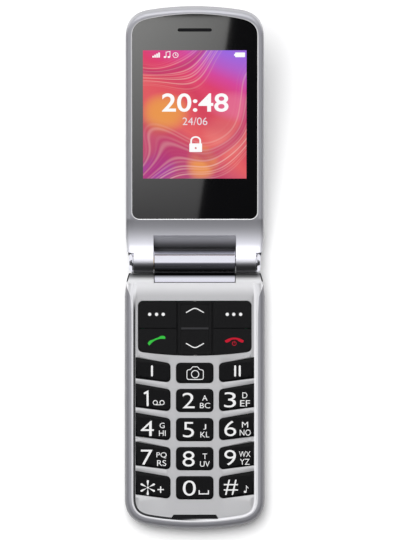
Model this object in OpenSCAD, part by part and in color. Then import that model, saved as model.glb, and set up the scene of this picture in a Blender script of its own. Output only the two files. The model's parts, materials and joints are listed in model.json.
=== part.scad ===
// Clamshell phone lying open on its back. X is its width, +Y runs from the keypad to the hinge and up
// the lid, +Z is up. The origin is the middle of the keypad half's resting face. Sizes in millimetres.

/* [Overall] */
// Width of the keypad half
base_w = 54; // [48:0.5:60]
// How much narrower the lid is on each side
lid_inset = 0.4; // [0:0.1:0.8]
// Length from the hinge axis to both free ends
reach = 102.9; // [92:0.1:114]
// Height of the keypad deck above the table
base_h = 10; // [9.9:0.1:11.5]
// Thickness of the lid
lid_t = 8.7; // [8.6:0.1:10]
// Angle from the closed lid to the open one
open_angle = 160; // [120:1:165]
// Air between the closed lid's rim and the deck
lid_gap = 0.3; // [0.25:0.05:0.5]

/* [Outline] */
// How far each side draws in at the hinge
neck_inset = 1.6; // [1:0.1:2]
// Length of the flare beside the hinge
flare_l = 9; // [7:0.5:12]
// Radius of the arched free ends
arch_r = 106; // [90:1:140]
// Width of a free corner
corner_w = 9; // [7:0.5:11]
// Length of a free corner
corner_l = 12; // [9:0.5:15]
// Width of the rounded edge under the keypad half
foot_w = 3.6; // [3:0.1:4.5]
// Height of that edge
foot_h = 4.2; // [3.4:0.1:4.6]
// Width of the rounded rail beside the deck
rail_w = 2.5; // [2.2:0.1:2.8]
// Height of that rail's rounding
rail_h = 3.3; // [2.8:0.1:3.6]
// Width of the bright bead inside the rail
bead_w = 0.8; // [0.6:0.05:1]
// Width of the groove between the bead and the deck
groove_w = 0.8; // [0.5:0.05:1]
// Depth of that groove
groove_d = 0.5; // [0.3:0.05:0.6]

/* [Hinge] */
// Depth of the hinge axis below the deck
axis_drop = 1.2; // [0.9:0.05:1.6]
// Radius of the two knuckles on the lid
knuckle_r = 4; // [3.9:0.05:4.3]
// Radius of the centre barrel on the keypad half
barrel_r = 4.7; // [4.3:0.05:4.8]
// Width of the centre barrel
barrel_w = 31.3; // [30:0.1:32.5]
// Gap between the turning pieces of the hinge
hinge_gap = 0.3; // [0.25:0.05:0.4]
// Length of a tapered end cap
cap_l = 1.75; // [1.2:0.05:2]
// Small radius of an end cap
cap_r = 3; // [2.6:0.1:3.4]
// Distance from the axis at which the deck's rolled shoulder starts
shoulder_run = 7.3; // [7:0.1:8]
// Distance from the axis to the end of the barrel's tongue
tongue_l = 7.6; // [7.4:0.1:8.4]
// Distance from the axis to the far edge of the hollow that the barrel turns in
scoop_l = 10.7; // [9.5:0.1:11.5]
// Depth of that hollow
scoop_d = 2.8; // [2.2:0.1:3.2]
// Distance of the lid's rounded heel from the axis
heel_l = 9; // [8:0.5:11]
// Radius of the heel
heel_r = 5; // [4.6:0.1:5.4]
// Radius of the hollow pin
pin_r = 2.6; // [2.4:0.05:2.8]
// Radius of the pin's bore
pin_bore_r = 1.9; // [1.8:0.05:2]
// Radius of the turning shaft
shaft_r = 1.45; // [1.3:0.05:1.5]
// Radius of the shaft's hexagonal end, across the corners
hex_r = 2.4; // [2.2:0.05:2.6]
// Running clearance of the pin and the shaft
run_gap = 0.05; // [0.03:0.01:0.08]
// Radius of the bore in the barrel that holds the cartridge and the bush
barrel_bore_r = 3.45; // [3.4:0.05:3.6]

/* [Keys] */
// Half the width of a centre key
key_hw = 7.1; // [6.6:0.1:7.4]
// Gap between the columns of keys
column_gap = 2.4; // [2:0.1:2.8]
// Distance from the axis to the first dialling row
first_row = 48.9; // [48.7:0.1:49.6]
// Gap between the dialling rows
row_gap = 2.56; // [2.2:0.02:3]
// Distance from the last row to the free end
keypad_foot = 11.6; // [11.4:0.1:13]
// Length of a function key
function_l = 7.6; // [7:0.1:7.8]
// Distance from the function row to the first dialling row
function_lift = 10.1; // [9.9:0.1:10.4]
// Rise of a side key's upper edge towards the outside
side_rise = 2.3; // [2:0.1:2.6]
// Rise of a side key's lower edge towards the outside
side_fall = 1.7; // [1.5:0.1:2.2]
// Radius of a key's corners
key_corner = 1.5; // [1:0.1:2]
// Gap around a key
key_gap = 0.15; // [0.12:0.01:0.2]
// Height of the key tops above the deck
key_rise = 0.4; // [0.2:0.05:0.5]
// Travel of a key
key_travel = 0.3; // [0.2:0.02:0.3]
// Width of the lip that keeps a key under the deck
lip_w = 0.5; // [0.35:0.05:0.6]
// Thickness of that lip
lip_t = 0.25; // [0.2:0.01:0.26]
// Radius of the plunger under a key
plunger_r = 1.3; // [1:0.1:1.5]
// Distance from the axis to the top of the navigation keys
nav_top = 14.85; // [14.6:0.05:15.2]
// Distance from the axis to the split between their two rows
nav_split = 25.4; // [25:0.1:25.8]
// Distance from the axis to their lower corners
nav_foot = 34.2; // [33.6:0.1:34.6]
// Deck between the navigation keys and the groove
nav_margin = 1.1; // [0.8:0.1:1.6]
// Half the width of the rocker
rocker_hw = 6.55; // [6:0.05:6.8]
// How far the navigation keys' lower edge bows out
nav_bow = 1.6; // [1:0.1:1.9]
// Gap between the navigation keys
nav_gap = 0.45; // [0.4:0.05:0.5]

/* [Display] */
// Rim beside the window
window_side = 2.4; // [2:0.1:3]
// Distance from the axis to the window's lower edge
window_foot = 17.2; // [16.8:0.1:18]
// Rim between the window and the lid's free end
window_rim = 1.7; // [1.5:0.1:2.2]
// Thickness of the window
window_t = 0.8; // [0.6:0.05:0.9]
// Depth of the window below the rim
window_d = 0.6; // [0.55:0.05:0.8]
// Width of the screen's picture
screen_w = 39.9; // [38:0.1:41]
// Distance from the picture to the lid's free end
screen_head = 16.1; // [15.5:0.1:17]
// Distance from the axis to the picture's lower edge
screen_foot = 33.8; // [32.5:0.1:34]
// Border of the screen panel around the picture
screen_border = 1.6; // [1:0.1:1.8]
// Thickness of the screen panel
screen_t = 1.6; // [1.2:0.1:1.6]
// Thickness of the screen's backlight
light_t = 0.8; // [0.6:0.05:0.9]
// Length of the earpiece slot
slot_l = 13; // [11:0.5:14]
// Width of the earpiece slot
slot_w = 1.2; // [1:0.1:1.5]
// Distance from the earpiece slot to the lid's free end
slot_head = 8.4; // [8:0.1:9]

/* [Inside] */
// Wall of the shells
wall = 1.4; // [1.2:0.1:1.6]
// Thickness of the deck
deck_t = 1; // [0.9:0.05:1.1]
// Height of the seam between the rear shell and the side frame
seam_h = 4.2; // [4:0.1:4.4]
// Thickness of the battery cover
cover_t = 1.1; // [1:0.05:1.2]
// Space beside the battery, to the side of the shell
battery_side = 9.5; // [9.3:0.1:11]
// Space between the battery and the free end
battery_foot = 7.7; // [7.7:0.1:9]
// Thickness of the battery
battery_t = 5; // [4.6:0.05:5.05]
// Distance from the axis to the battery
battery_at = 41.2; // [41:0.1:41.6]
// Thickness of the boards
board_t = 0.8; // [0.6:0.05:0.8]
// Thickness of the key mat
mat_t = 0.4; // [0.3:0.05:0.4]
// Width of the charging socket
socket_w = 7.8; // [7.4:0.1:8.2]
// Height of the charging socket
socket_h = 2.5; // [2.4:0.05:2.55]
// Radius of the camera window
camera_r = 4.2; // [3.6:0.1:4.6]
// Distance of the camera from the axis
camera_at = 25; // [24.5:0.5:26]
// Radius of a screw's shank
screw_r = 0.8; // [0.6:0.05:0.9]
// Radius of a screw's head
screw_head_r = 1.6; // [1.4:0.05:1.65]
// Clearance of pieces that are fixed in one another
fit = 0.05; // [0.03:0.01:0.1]

/* [Hidden] */
$fn = 48;
DIALS = ["key_1", "key_2", "key_3", "key_4", "key_5", "key_6", "key_7", "key_8", "key_9",
    "key_star", "key_0", "key_hash"];

// The hinge. In a side view, l is the distance from the axis along either half and h the height
// above the axis; the lid is drawn flat, its inner face up, and then turned to the open angle.
lid_tilt = 180 - open_angle;
lid_w = base_w - 2 * lid_inset;
neck_hw = base_w / 2 - neck_inset;
axis_z = base_h - axis_drop;
rim_drop = axis_drop + lid_gap;
chin_r = (pow(shoulder_run, 2) + pow(rim_drop, 2) - pow(knuckle_r, 2)) / (2 * (knuckle_r + rim_drop));
chin_h = chin_r - rim_drop;
shoulder_r = chin_r - lid_gap;
shoulder_l = shoulder_run - shoulder_r;
hinge_y = (reach + shoulder_l) / 2;
knuckle_in = barrel_w / 2 + hinge_gap;
knuckle_out = neck_hw - cap_l - fit;
knuckle_l = knuckle_out - knuckle_in;
heel_h = -rim_drop - lid_t + heel_r;
scoop_run = scoop_l - barrel_r;
scoop_r = (pow(scoop_run, 2) + pow(scoop_d, 2)) / (2 * scoop_d);

// Heights in the keypad half, from the deck down.
pocket_gap = 0.1;
plunger_l = 0.2;
plate_z = base_h - deck_t;
lip_z = plate_z - fit - lip_t;
plunger_z = lip_z - plunger_l;
dome_z = plunger_z - key_travel - fit;
dome_h = 0.2;
sheet_t = 0.15;
board_z = dome_z - dome_h - sheet_t - board_t;
roof_t = 0.6;
battery_z = cover_t + pocket_gap;
ledge_t = 0.8;
deck_inset = rail_w + bead_w + groove_w;
deck_hw = base_w / 2 - deck_inset;

// The keypad, in l down the deck.
side_in = key_hw + column_gap;
row_pitch = (reach - keypad_foot - first_row + row_gap) / 4;
key_l = row_pitch - row_gap;
nav_hw = deck_hw - nav_margin;
side_x = (side_in + deck_hw) / 2;
soft_x = (rocker_hw + nav_gap + nav_hw) / 2;
nav_soft_l = (nav_top + nav_split) / 2;
nav_call_l = (nav_split + nav_foot) / 2;
rocker_arm = 8.2;
rocker_z = lip_z + lip_t;
pivot_r = 0.4;
pivot_hw = rocker_hw - 2;
top_step = 0.3;
top_inset = 0.25;

// Heights in the lid, from its inner face down.
lid_seam_d = 3.7;
lid_skin = 1.1;
glass_h = -rim_drop - window_d;
screen_h = glass_h - window_t - fit;
light_h = screen_h - screen_t - fit;
lid_board_h = light_h - light_t - fit;
lid_back_h = -rim_drop - lid_t;
lid_seam_h = -rim_drop - lid_seam_d;
lid_floor_h = lid_back_h + lid_skin;
lid_board_t = 0.6;
lid_board_l = window_foot + 2.5;

// The display.
window_hw = lid_w / 2 - window_side;
screen_l = reach - screen_head - screen_foot;
slot_at = reach - slot_head;

// Screws: places across and along each half.
screw_side = 5.6;
screw_l = 11.5;
screw_foot = 9.9;
screw_x = base_w / 2 - screw_side;
screw_ls = [screw_l, reach - screw_foot];
boss_r = 1.75;
head_t = 0.9;
head_z = cover_t + pocket_gap + head_t;
lid_screw_side = 3.25;
lid_screw_l = 22;
lid_screw_head = 11.8;
lid_screw_x = lid_w / 2 - lid_screw_side;
lid_screw_ls = [lid_screw_l, reach - lid_screw_head];

// Places inside the two halves.
battery_hw = base_w / 2 - battery_side + pocket_gap;
battery_end = reach - battery_foot;
bay_w = 1;
contact_hw = 5.2;
contact_t = 1.5;
cover_side = 0.4;
cover_hw = deck_hw - cover_side;
cover_l = 22;
cover_foot = 5.8;
cover_corner = 2.5;
shoulder_join = shoulder_run + 0.8;
shoulder_t = 1.2;
tongue_hw = barrel_w / 2 + fit;
floor_z = cover_t + fit + ledge_t;
speaker_w = 15;
speaker_d = 10;
speaker_h = 2.6;
speaker_x = screw_x - boss_r - speaker_w / 2 - 2.65;
speaker_l = 16;
slit_w = 0.9;
slit_l = 6;
slit_pitch = 2;
motor_r = 1.7;
shield_ls = [12.5, 22.5];
shield_h = 1.6;
shield_t = 0.2;
card_x = [2.5, 14.5];
card_ls = [24.5, 38];
card_h = 1.5;
antenna_foot = 4.3;
antenna_t = 1.6;
socket_l = battery_end + bay_w + 0.6;
socket_foot = 0.6;
socket_skin = 0.4;
socket_z = board_z - socket_h;
board_side = 6.5;
board_hw = base_w / 2 - board_side;
motor_side = 2.5;
motor_x0 = motor_side - board_hw;
motor_l = 9;
motor_shaft = 4;
motor_x = [motor_x0, motor_x0 + motor_l, motor_x0 + motor_l + motor_shaft];
shield_side = 3.5;
shield_hw = board_hw - shield_side;
sim_side = 2;
sim_w = 16;
sim_x = [sim_side - board_hw, sim_side + sim_w - board_hw];
antenna_side = 3.5;
antenna_gap = 2.1;
antenna_x = [antenna_side - board_hw, -socket_w / 2 - antenna_gap];
board_l0 = 9;
board_inset = 0.4;
mic_foot = 4.7;
mic_l = reach - mic_foot;
mic_w = 3.2;
mic_r = 0.5;
notch_hw = 9.3;
notch_slope = 1.1;
notch_foot = 5.6;
notch_l = reach - notch_foot;
sensor_side = 3.5;
sensor_x = board_hw - sensor_side;
sensor_foot = 7.5;
sensor_l = reach - sensor_foot;
sensor_w = 3;
sensor_h = 0.8;
magnet_w = 4;
magnet_h = 1.5;
flex_x0 = -9;
flex_w = 4;
flex_t = 0.2;
flex_h = board_z + board_t - axis_z;
flex_end = 12;
flex_gap = 0.4;
cartridge_t = 0.75;
cartridge_bore_r = barrel_bore_r - cartridge_t;
cartridge_x = 1.5;
cap_wall = 1;
cam_foot = 3.85;
cam_x = barrel_w / 2 - cam_foot;
cam_t = 2;
bush_l = 4;
lid_rim_r = 1.4;
lid_foot_w = 4.6;
lid_foot_h = 5.2;
lid_start = 0.5;
window_corner = 2.9;
window_arch = 80;
window_corner_w = 6;
window_corner_l = 9;
chin_side = 2.6;
chin_hw = lid_w / 2 - chin_side;
chin_sweep_r = (pow(window_foot - shoulder_run, 2) + pow(window_d, 2)) / (2 * window_d);
camera_seat = 0.7;
camera_seat_h = lid_back_h + camera_seat;
camera_w = 8;
earpiece_d = 6.4;
earpiece_h = 2.2;
dome_r = 2;
mat_hole_r = 2.4;
hex_key_r = 0.7;

// An elliptical arc and a quadratic curve, as lists of points.
function arc(cx, cy, rx, ry, a0, a1, n = 8) =
    [for (i = [0:n]) let (a = a0 + (a1 - a0) * i / n) [cx + rx * cos(a), cy + ry * sin(a)]];
function curve(a, b, c, n = 8) =
    [for (i = [0:n]) let (u = i / n) (1 - u) * (1 - u) * a + 2 * u * (1 - u) * b + u * u * c];

// The right half of an outline, in X and l, from the hinge to the middle of the free end.
function half_outline(hw, neck, start) = let (
    arch_x = hw - corner_w,
    arch_y = sqrt(pow(arch_r, 2) - pow(arch_x, 2)),
    corner_y = reach - arch_r + arch_y,
    crest_y = corner_y - corner_w * arch_x / arch_y)
    concat(curve([neck, start], [hw - flare_l / 18, start + flare_l / 4], [hw, start + flare_l]),
        curve([hw, reach - corner_l], [hw, crest_y], [arch_x, corner_y], 10),
        [for (i = [1:6]) let (x = arch_x * (1 - i / 6))
            [x, reach - arch_r + sqrt(pow(arch_r, 2) - x * x)]]);
function whole_outline(half) =
    concat(half, [for (i = [len(half) - 2:-1:0]) [-half[i][0], half[i][1]]]);

// A closed section from lo to hi, with elliptical corners below and above.
function section(lo, hi, z0, z1, foot, top) = concat(
    arc(lo + foot[0], z0 + foot[1], foot[0], foot[1], 180, 270),
    arc(hi - foot[0], z0 + foot[1], foot[0], foot[1], 270, 360),
    arc(hi - top[0], z1 - top[1], top[0], top[1], 0, 90),
    arc(lo + top[0], z1 - top[1], top[0], top[1], 90, 180));

// A slab between two heights, and an outline drawn in X and l instead of X and Y.
module slab(z0, z1) { translate([0, 0, z0]) linear_extrude(z1 - z0) children(); }
module keypad_side() { translate([0, hinge_y]) mirror([0, 1]) children(); }
module rounded(r) { offset(r = r) offset(delta = -r) children(); }
module box(x, l, z) { translate([x[0], hinge_y - l[1], z[0]]) cube([x[1] - x[0], l[1] - l[0], z[1] - z[0]]); }
module at_axis() { translate([0, hinge_y, axis_z]) children(); }
module along_x(x0, x1) { translate([x0, 0, 0]) rotate([90, 0, 90]) linear_extrude(x1 - x0) children(); }
module rod(x0, x1, r) { translate([x0, 0, 0]) rotate([0, 90, 0]) cylinder(h = x1 - x0, r = r); }
module both_sides() { children(); mirror([1, 0, 0]) children(); }

// The keypad half's outline and its whole outer form.
module base_plan() { keypad_side() polygon(whole_outline(half_outline(base_w / 2, neck_hw, shoulder_l))); }
module base_plan_in(inset) { offset(delta = -inset) base_plan(); }
module base_form() {
    hw = base_w / 2;
    free_y = hinge_y - reach;
    end_y = hinge_y - shoulder_l;
    side = concat(
        arc(free_y + foot_w, foot_h, foot_w, foot_h, 180, 270),
        arc(end_y - foot_w, foot_h, foot_w, foot_h, 270, 360),
        arc(hinge_y - shoulder_run, base_h - shoulder_r, shoulder_r, shoulder_r, 0, 90),
        arc(free_y + rail_w, base_h - rail_h, rail_w, rail_h, 90, 180));
    intersection() {
        slab(0, base_h) base_plan();
        along_x(-hw, hw) polygon(side);
        translate([0, hinge_y, 0]) rotate([90, 0, 0]) linear_extrude(reach + 1)
            polygon(section(-hw, hw, 0, base_h, [foot_w, foot_h], [rail_w, rail_h]));
    }
}
module screw_spots() { both_sides() for (l = screw_ls) translate([screw_x, hinge_y - l, 0]) children(); }

// Keypad half: shells and frame.
module base_rear_shell() color("#3a3a3e") {
    difference() {
        union() {
            intersection() {
                base_form();
                difference() {
                    slab(0, seam_h) base_plan();
                    slab(floor_z, seam_h + 1) base_plan_in(wall);
                }
            }
            box([-battery_hw - bay_w, battery_hw + bay_w],
                [battery_at - pocket_gap - bay_w, battery_end + pocket_gap + bay_w],
                [cover_t + fit, board_z]);
            screw_spots() slab(cover_t + fit, seam_h) circle(boss_r + 0.4);
        }
        slab(-1, cover_t + fit) offset(delta = pocket_gap) cover_plan();
        box([-battery_hw, battery_hw], [battery_at - pocket_gap, battery_end + pocket_gap],
            [-1, board_z - roof_t]);
        box([sim_x[0], card_x[1]], card_ls, [-1, seam_h]);
        box([-contact_hw, contact_hw], [battery_at - contact_t, battery_at],
            [head_z, board_z]);
        screw_spots() {
            slab(-1, head_z) circle(screw_head_r + pocket_gap);
            slab(-1, seam_h + 1) circle(screw_r + fit);
        }
        for (i = [-3:3]) translate([speaker_x + i * slit_pitch, hinge_y - speaker_l, 0])
            slab(-1, floor_z + 1) square([slit_w, slit_l], center = true);
    }
}
module cover_plan() {
    keypad_side() translate([-cover_hw, cover_l]) rounded(cover_corner)
        square([2 * cover_hw, reach - cover_foot - cover_l]);
}
module battery_cover() color("#3a3a3e") slab(0, cover_t) cover_plan();
module base_side_frame() color("#77777c") difference() {
    intersection() {
        base_form();
        difference() {
            slab(seam_h, base_h) base_plan();
            slab(seam_h - 1, base_h + 1) base_plan_in(rail_w);
        }
        box([-base_w, base_w], [shoulder_join, reach + 1], [0, base_h]);
    }
    box([-socket_w / 2 - lid_gap, socket_w / 2 + lid_gap], [socket_l, reach + 1],
        [socket_z - lid_gap, socket_z + socket_h + lid_gap]);
}
module base_faceplate() color("#c4c4c6") difference() {
    union() {
        intersection() {
            slab(plate_z, base_h) base_plan_in(rail_w + fit);
            box([-base_w, base_w], [shoulder_join - fit, reach], [plate_z, base_h]);
        }
        shoulder();
        screw_spots() slab(seam_h, plate_z + 0.1) circle(boss_r);
    }
    groove();
    box([-tongue_hw, tongue_hw], [0, tongue_l + fit], [seam_h - 1, base_h + 1]);
    slab(plate_z - 1, base_h + 1) offset(delta = key_gap) nav_plan();
    for (row = [0:4], col = [-1:1])
        slab(plate_z - 1, base_h + 1) offset(delta = key_gap) key_plan(row, col);
    screw_spots() slab(seam_h - 1, plate_z - 0.6) circle(screw_r + fit);
    slab(base_h - groove_d - 0.1, base_h + 1) notch_plan();
    translate([0, hinge_y - mic_l, plate_z - 1]) cylinder(h = deck_t, r = mic_r);
}
// The deck's hinge end, which rolls down over the full width.
module shoulder() {
    end_y = hinge_y - shoulder_l;
    join_y = hinge_y - shoulder_join - fit;
    inner_r = shoulder_r - shoulder_t;
    difference() {
        intersection() {
            base_form();
            box([-base_w, base_w], [0, shoulder_join - fit], [seam_h, base_h]);
        }
        along_x(-neck_hw + wall, neck_hw - wall) polygon(concat(
            [[join_y - 2, seam_h - 1], [end_y - shoulder_t, seam_h - 1]],
            arc(hinge_y - shoulder_run, base_h - shoulder_r, inner_r, inner_r, 0, 90),
            [[join_y - 2, base_h - shoulder_t]]));
    }
}
module groove() intersection() {
    slab(base_h - groove_d, base_h + 1) difference() {
        base_plan_in(rail_w + bead_w);
        base_plan_in(deck_inset);
    }
    box([-base_w, base_w], [shoulder_join + 2, reach], [0, base_h + 1]);
}
module notch_plan(inset = 0) {
    top_hw = notch_hw - notch_slope;
    foot = reach - deck_inset + lid_gap;
    keypad_side() offset(delta = -inset)
        polygon([[-notch_hw, foot], [notch_hw, foot], [top_hw, notch_l], [-top_hw, notch_l]]);
}
module mic_grille() color("#141416") difference() {
    slab(base_h - groove_d - 0.1, base_h - 0.1) notch_plan(pocket_gap);
    translate([0, hinge_y - mic_l, 0]) cylinder(h = base_h, r = mic_r);
}

// Hinge pieces on the keypad half.
module hinge_barrel_cover() color("#d8d8e0") at_axis() difference() {
    union() {
        rod(-barrel_w / 2, barrel_w / 2, barrel_r);
        along_x(-barrel_w / 2, barrel_w / 2) mirror([1, 0]) polygon(concat(
            [[2, -barrel_r + 0.8], [shoulder_l, seam_h + fit - axis_z], [tongue_l, seam_h + fit - axis_z]],
            curve([tongue_l, axis_drop], [barrel_r + 0.9, axis_drop], [barrel_r - 0.4, 0.3]),
            [[2, 0.3]]));
    }
    rod(-barrel_w, barrel_w, barrel_bore_r);
    translate([flex_x0 - flex_t, -tongue_l - 1, flex_h - flex_t])
        cube([flex_w + 2 * flex_t, tongue_l + 1, 3 * flex_t]);
}
module hinge_cartridge() color("#8a8c90") at_axis() difference() {
    rod(cartridge_x, barrel_w / 2 - flex_t, barrel_bore_r - fit / 2);
    difference() {
        rod(cartridge_x + cap_wall, barrel_w / 2 - flex_t - cap_wall, cartridge_bore_r);
        rod(cam_x - flex_t - cam_t, cam_x - flex_t, cartridge_bore_r + 1);
    }
    rod(cartridge_x + 2 * cap_wall, barrel_w, shaft_r + run_gap);
}
module hinge_spring() color("#a0a2a6") at_axis() difference() {
    rod(cartridge_x + cap_wall + fit, cam_x - flex_t - cam_t - fit, cartridge_bore_r - pocket_gap);
    rod(0, cam_x, shaft_r + lid_gap);
}
module hinge_bush() color("#b09a5a") at_axis() difference() {
    rod(-barrel_w / 2 + flex_t, -barrel_w / 2 + flex_t + bush_l, barrel_bore_r - fit / 2);
    rod(-barrel_w, 0, pin_r + run_gap);
}
module base_flex() color("#b5792c") at_axis() {
    rod(-knuckle_out + 1, flex_x0 + flex_w, pin_bore_r - flex_gap);
    translate([flex_x0, -flex_end, flex_h]) cube([flex_w, flex_end, flex_t]);
}

// Inside the keypad half.
module battery() color("#2b3f66") box([-battery_hw + pocket_gap, battery_hw - pocket_gap],
    [battery_at, battery_end], [battery_z, battery_z + battery_t]);
module battery_contacts() color("#c9a74a") difference() {
    box([-contact_hw + flex_t, contact_hw - flex_t], [battery_at - contact_t, battery_at - pocket_gap],
        [head_z, board_z]);
    for (i = [-1:1]) box([i * 3 - 0.6, i * 3 + 0.6], [battery_at - 0.5, battery_at], [head_z + 0.5, 5]);
}
module main_board() color("#1d5a34") slab(board_z, board_z + board_t) difference() {
    intersection() {
        base_plan_in(rail_w + board_inset);
        keypad_side() translate([-board_hw, board_l0]) square([2 * board_hw, reach - board_l0]);
    }
    screw_spots() circle(boss_r + flex_t);
}
module key_spots() {
    for (row = [0:4], col = [-1:1]) translate(key_centre(row, col)) children();
    for (x = [-soft_x, soft_x], l = [nav_soft_l, nav_call_l]) translate([x, hinge_y - l]) children();
    for (l = [nav_split - rocker_arm, nav_split + rocker_arm]) translate([0, hinge_y - l]) children();
}
module keypad_plan() keypad_side() translate([-side_x - 3, nav_top])
    square([2 * (side_x + 3), row_l(4) + key_l - nav_top]);
module keypad_dome_sheet() color("#b9c4c9") {
    slab(board_z + board_t, dome_z - dome_h) keypad_plan();
    slab(dome_z - dome_h, dome_z - dome_h / 2) key_spots() circle(dome_r);
    slab(dome_z - dome_h, dome_z) key_spots() circle(dome_r * 0.6);
}
module keypad_mat() color("#dcdcd8") {
    slab(dome_z - dome_h, dome_z - dome_h + mat_t) difference() {
        keypad_plan();
        key_spots() circle(mat_hole_r);
    }
    box([-pivot_hw, pivot_hw], [nav_split - pivot_r, nav_split + pivot_r],
        [dome_z - dome_h, rocker_z - pivot_r - pocket_gap]);
}
module rf_shield() color("#b8babd") difference() {
    box([-shield_hw, shield_hw], shield_ls, [board_z - shield_h, board_z]);
    box([-shield_hw + shield_t, shield_hw - shield_t], [shield_ls[0] + shield_t, shield_ls[1] - shield_t],
        [board_z - shield_h + shield_t, board_z + 1]);
}
module card_socket(x) difference() {
    box(x, card_ls, [board_z - card_h, board_z]);
    box([x[0] + card_h, x[1] - card_h], [card_ls[0] - 1, card_ls[1] - socket_skin],
        [board_z - card_h + socket_skin, board_z - socket_skin]);
}
module card_sockets() color("#aeb0b3") {
    card_socket(sim_x);
    card_socket(card_x);
}
module charging_socket() color("#b8babd") difference() {
    box([-socket_w / 2, socket_w / 2], [socket_l, reach - socket_foot], [socket_z, socket_z + socket_h]);
    box([-socket_w / 2 + socket_skin, socket_w / 2 - socket_skin], [socket_l + 1, reach],
        [socket_z + socket_skin, socket_z + socket_h - socket_skin]);
}
module microphone() color("#c9a74a") box([-mic_w / 2, mic_w / 2], [mic_l - mic_w / 3, mic_l + mic_w / 5],
    [board_z + board_t, plate_z - pocket_gap]);
module loudspeaker() color("#26262a") translate([speaker_x, hinge_y - speaker_l, 0]) {
    slab(floor_z, floor_z + speaker_h) square([speaker_w, speaker_d], center = true);
    slab(floor_z, floor_z + speaker_h + socket_skin) circle(speaker_d / 3);
}
module vibration_motor() color("#a8aaae") translate([0, hinge_y - speaker_l, floor_z + motor_r]) {
    rod(motor_x[0], motor_x[1], motor_r);
    rod(motor_x[1] + 1, motor_x[2], motor_r - flex_t);
    rod(motor_x[1] - 1, motor_x[2], flex_gap);
}
module antenna() color("#c9a74a") box(antenna_x,
    [reach - antenna_foot - antenna_t, reach - antenna_foot], [floor_z, board_z]);
module lid_sensor() color("#26262a") box([sensor_x - sensor_w / 2, sensor_x + sensor_w / 2],
    [sensor_l - sensor_h, sensor_l + sensor_h], [board_z + board_t, board_z + board_t + sensor_h]);
module screw(z0, z1) {
    slab(z0, z0 + head_t) difference() {
        circle(screw_head_r);
        circle(hex_key_r, $fn = 6);
    }
    slab(z0 + head_t / 2, z1) circle(screw_r);
}
module base_screws() color("#8a8c90") screw_spots() screw(head_z - head_t, plate_z - 0.8);

// Keys. Rows count from the function row, columns from left to right; l runs down the keypad.
function row_l(row) = row == 0 ? first_row - function_lift : first_row + (row - 1) * row_pitch;
function row_len(row) = row == 0 ? function_l : key_l;
function key_centre(row, col) = [col * side_x,
    hinge_y - row_l(row) - row_len(row) / 2 + abs(col) * (side_rise + side_fall) / 4];
module key_plan(row, col) {
    top = row_l(row);
    foot = top + row_len(row);
    far = 4;
    run = deck_hw - side_in;
    keypad_side() if (col == 0) {
        rounded(key_corner) translate([-key_hw, top]) square([2 * key_hw, foot - top]);
    } else {
        mirror([col < 0 ? 1 : 0, 0]) intersection() {
            rounded(key_corner) polygon([[side_in, top + 0.2], [side_in, foot - 0.2],
                [deck_hw + far, foot - 0.2 - side_fall * (1 + far / run)],
                [deck_hw + far, top + 0.2 - side_rise * (1 + far / run)]]);
            square([deck_hw, reach]);
        }
    }
}
module key_cap(top_z) {
    slab(lip_z + lip_t - 0.01, top_z - top_step) children();
    slab(top_z - top_step - 0.01, top_z) offset(delta = -top_inset) children();
}
module key_lip() { slab(lip_z, lip_z + lip_t) children(); }
module plunger() { slab(plunger_z, lip_z + lip_t) circle(plunger_r); }
module deck_key(row, col) color("#0c0c0e") {
    key_cap(base_h + key_rise) key_plan(row, col);
    key_lip() offset(delta = lip_w) key_plan(row, col);
    translate(key_centre(row, col)) plunger();
}
module nav_plan() {
    bow_r = (pow(nav_hw, 2) + pow(nav_bow, 2)) / (2 * nav_bow);
    keypad_side() rounded(key_corner + 0.3) polygon(concat([[-nav_hw, nav_top], [nav_hw, nav_top]],
        [for (i = [10:-1:-10]) let (x = nav_hw * i / 10)
            [x, nav_foot + nav_bow - bow_r + sqrt(pow(bow_r, 2) - x * x)]]));
}
module nav_cell(x, l) keypad_side() translate([x[0], l[0]]) square([x[1] - x[0], l[1] - l[0]]);
module nav_key(side, upper) color("#121214") {
    x = side > 0 ? [rocker_hw + nav_gap, base_w / 2] : [-base_w / 2, -rocker_hw - nav_gap];
    l = upper ? [0, nav_split - nav_gap / 4] : [nav_split + nav_gap / 4, reach];
    key_cap(base_h + key_rise - 0.1) intersection() {
        nav_plan();
        nav_cell(x, l);
    }
    key_lip() intersection() {
        offset(delta = lip_w) nav_plan();
        nav_cell(x, l);
    }
    translate([side * soft_x, hinge_y - (upper ? nav_soft_l : nav_call_l)]) plunger();
}
module nav_rocker() color("#121214") {
    key_cap(base_h + key_rise - 0.1) intersection() {
        offset(delta = -0.1) nav_plan();
        nav_cell([-rocker_hw, rocker_hw], [0, reach]);
    }
    for (l = [nav_split - rocker_arm, nav_split + rocker_arm]) translate([0, hinge_y - l]) plunger();
    translate([0, hinge_y - nav_split, rocker_z]) rod(-pivot_hw, pivot_hw, pivot_r);
}

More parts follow.
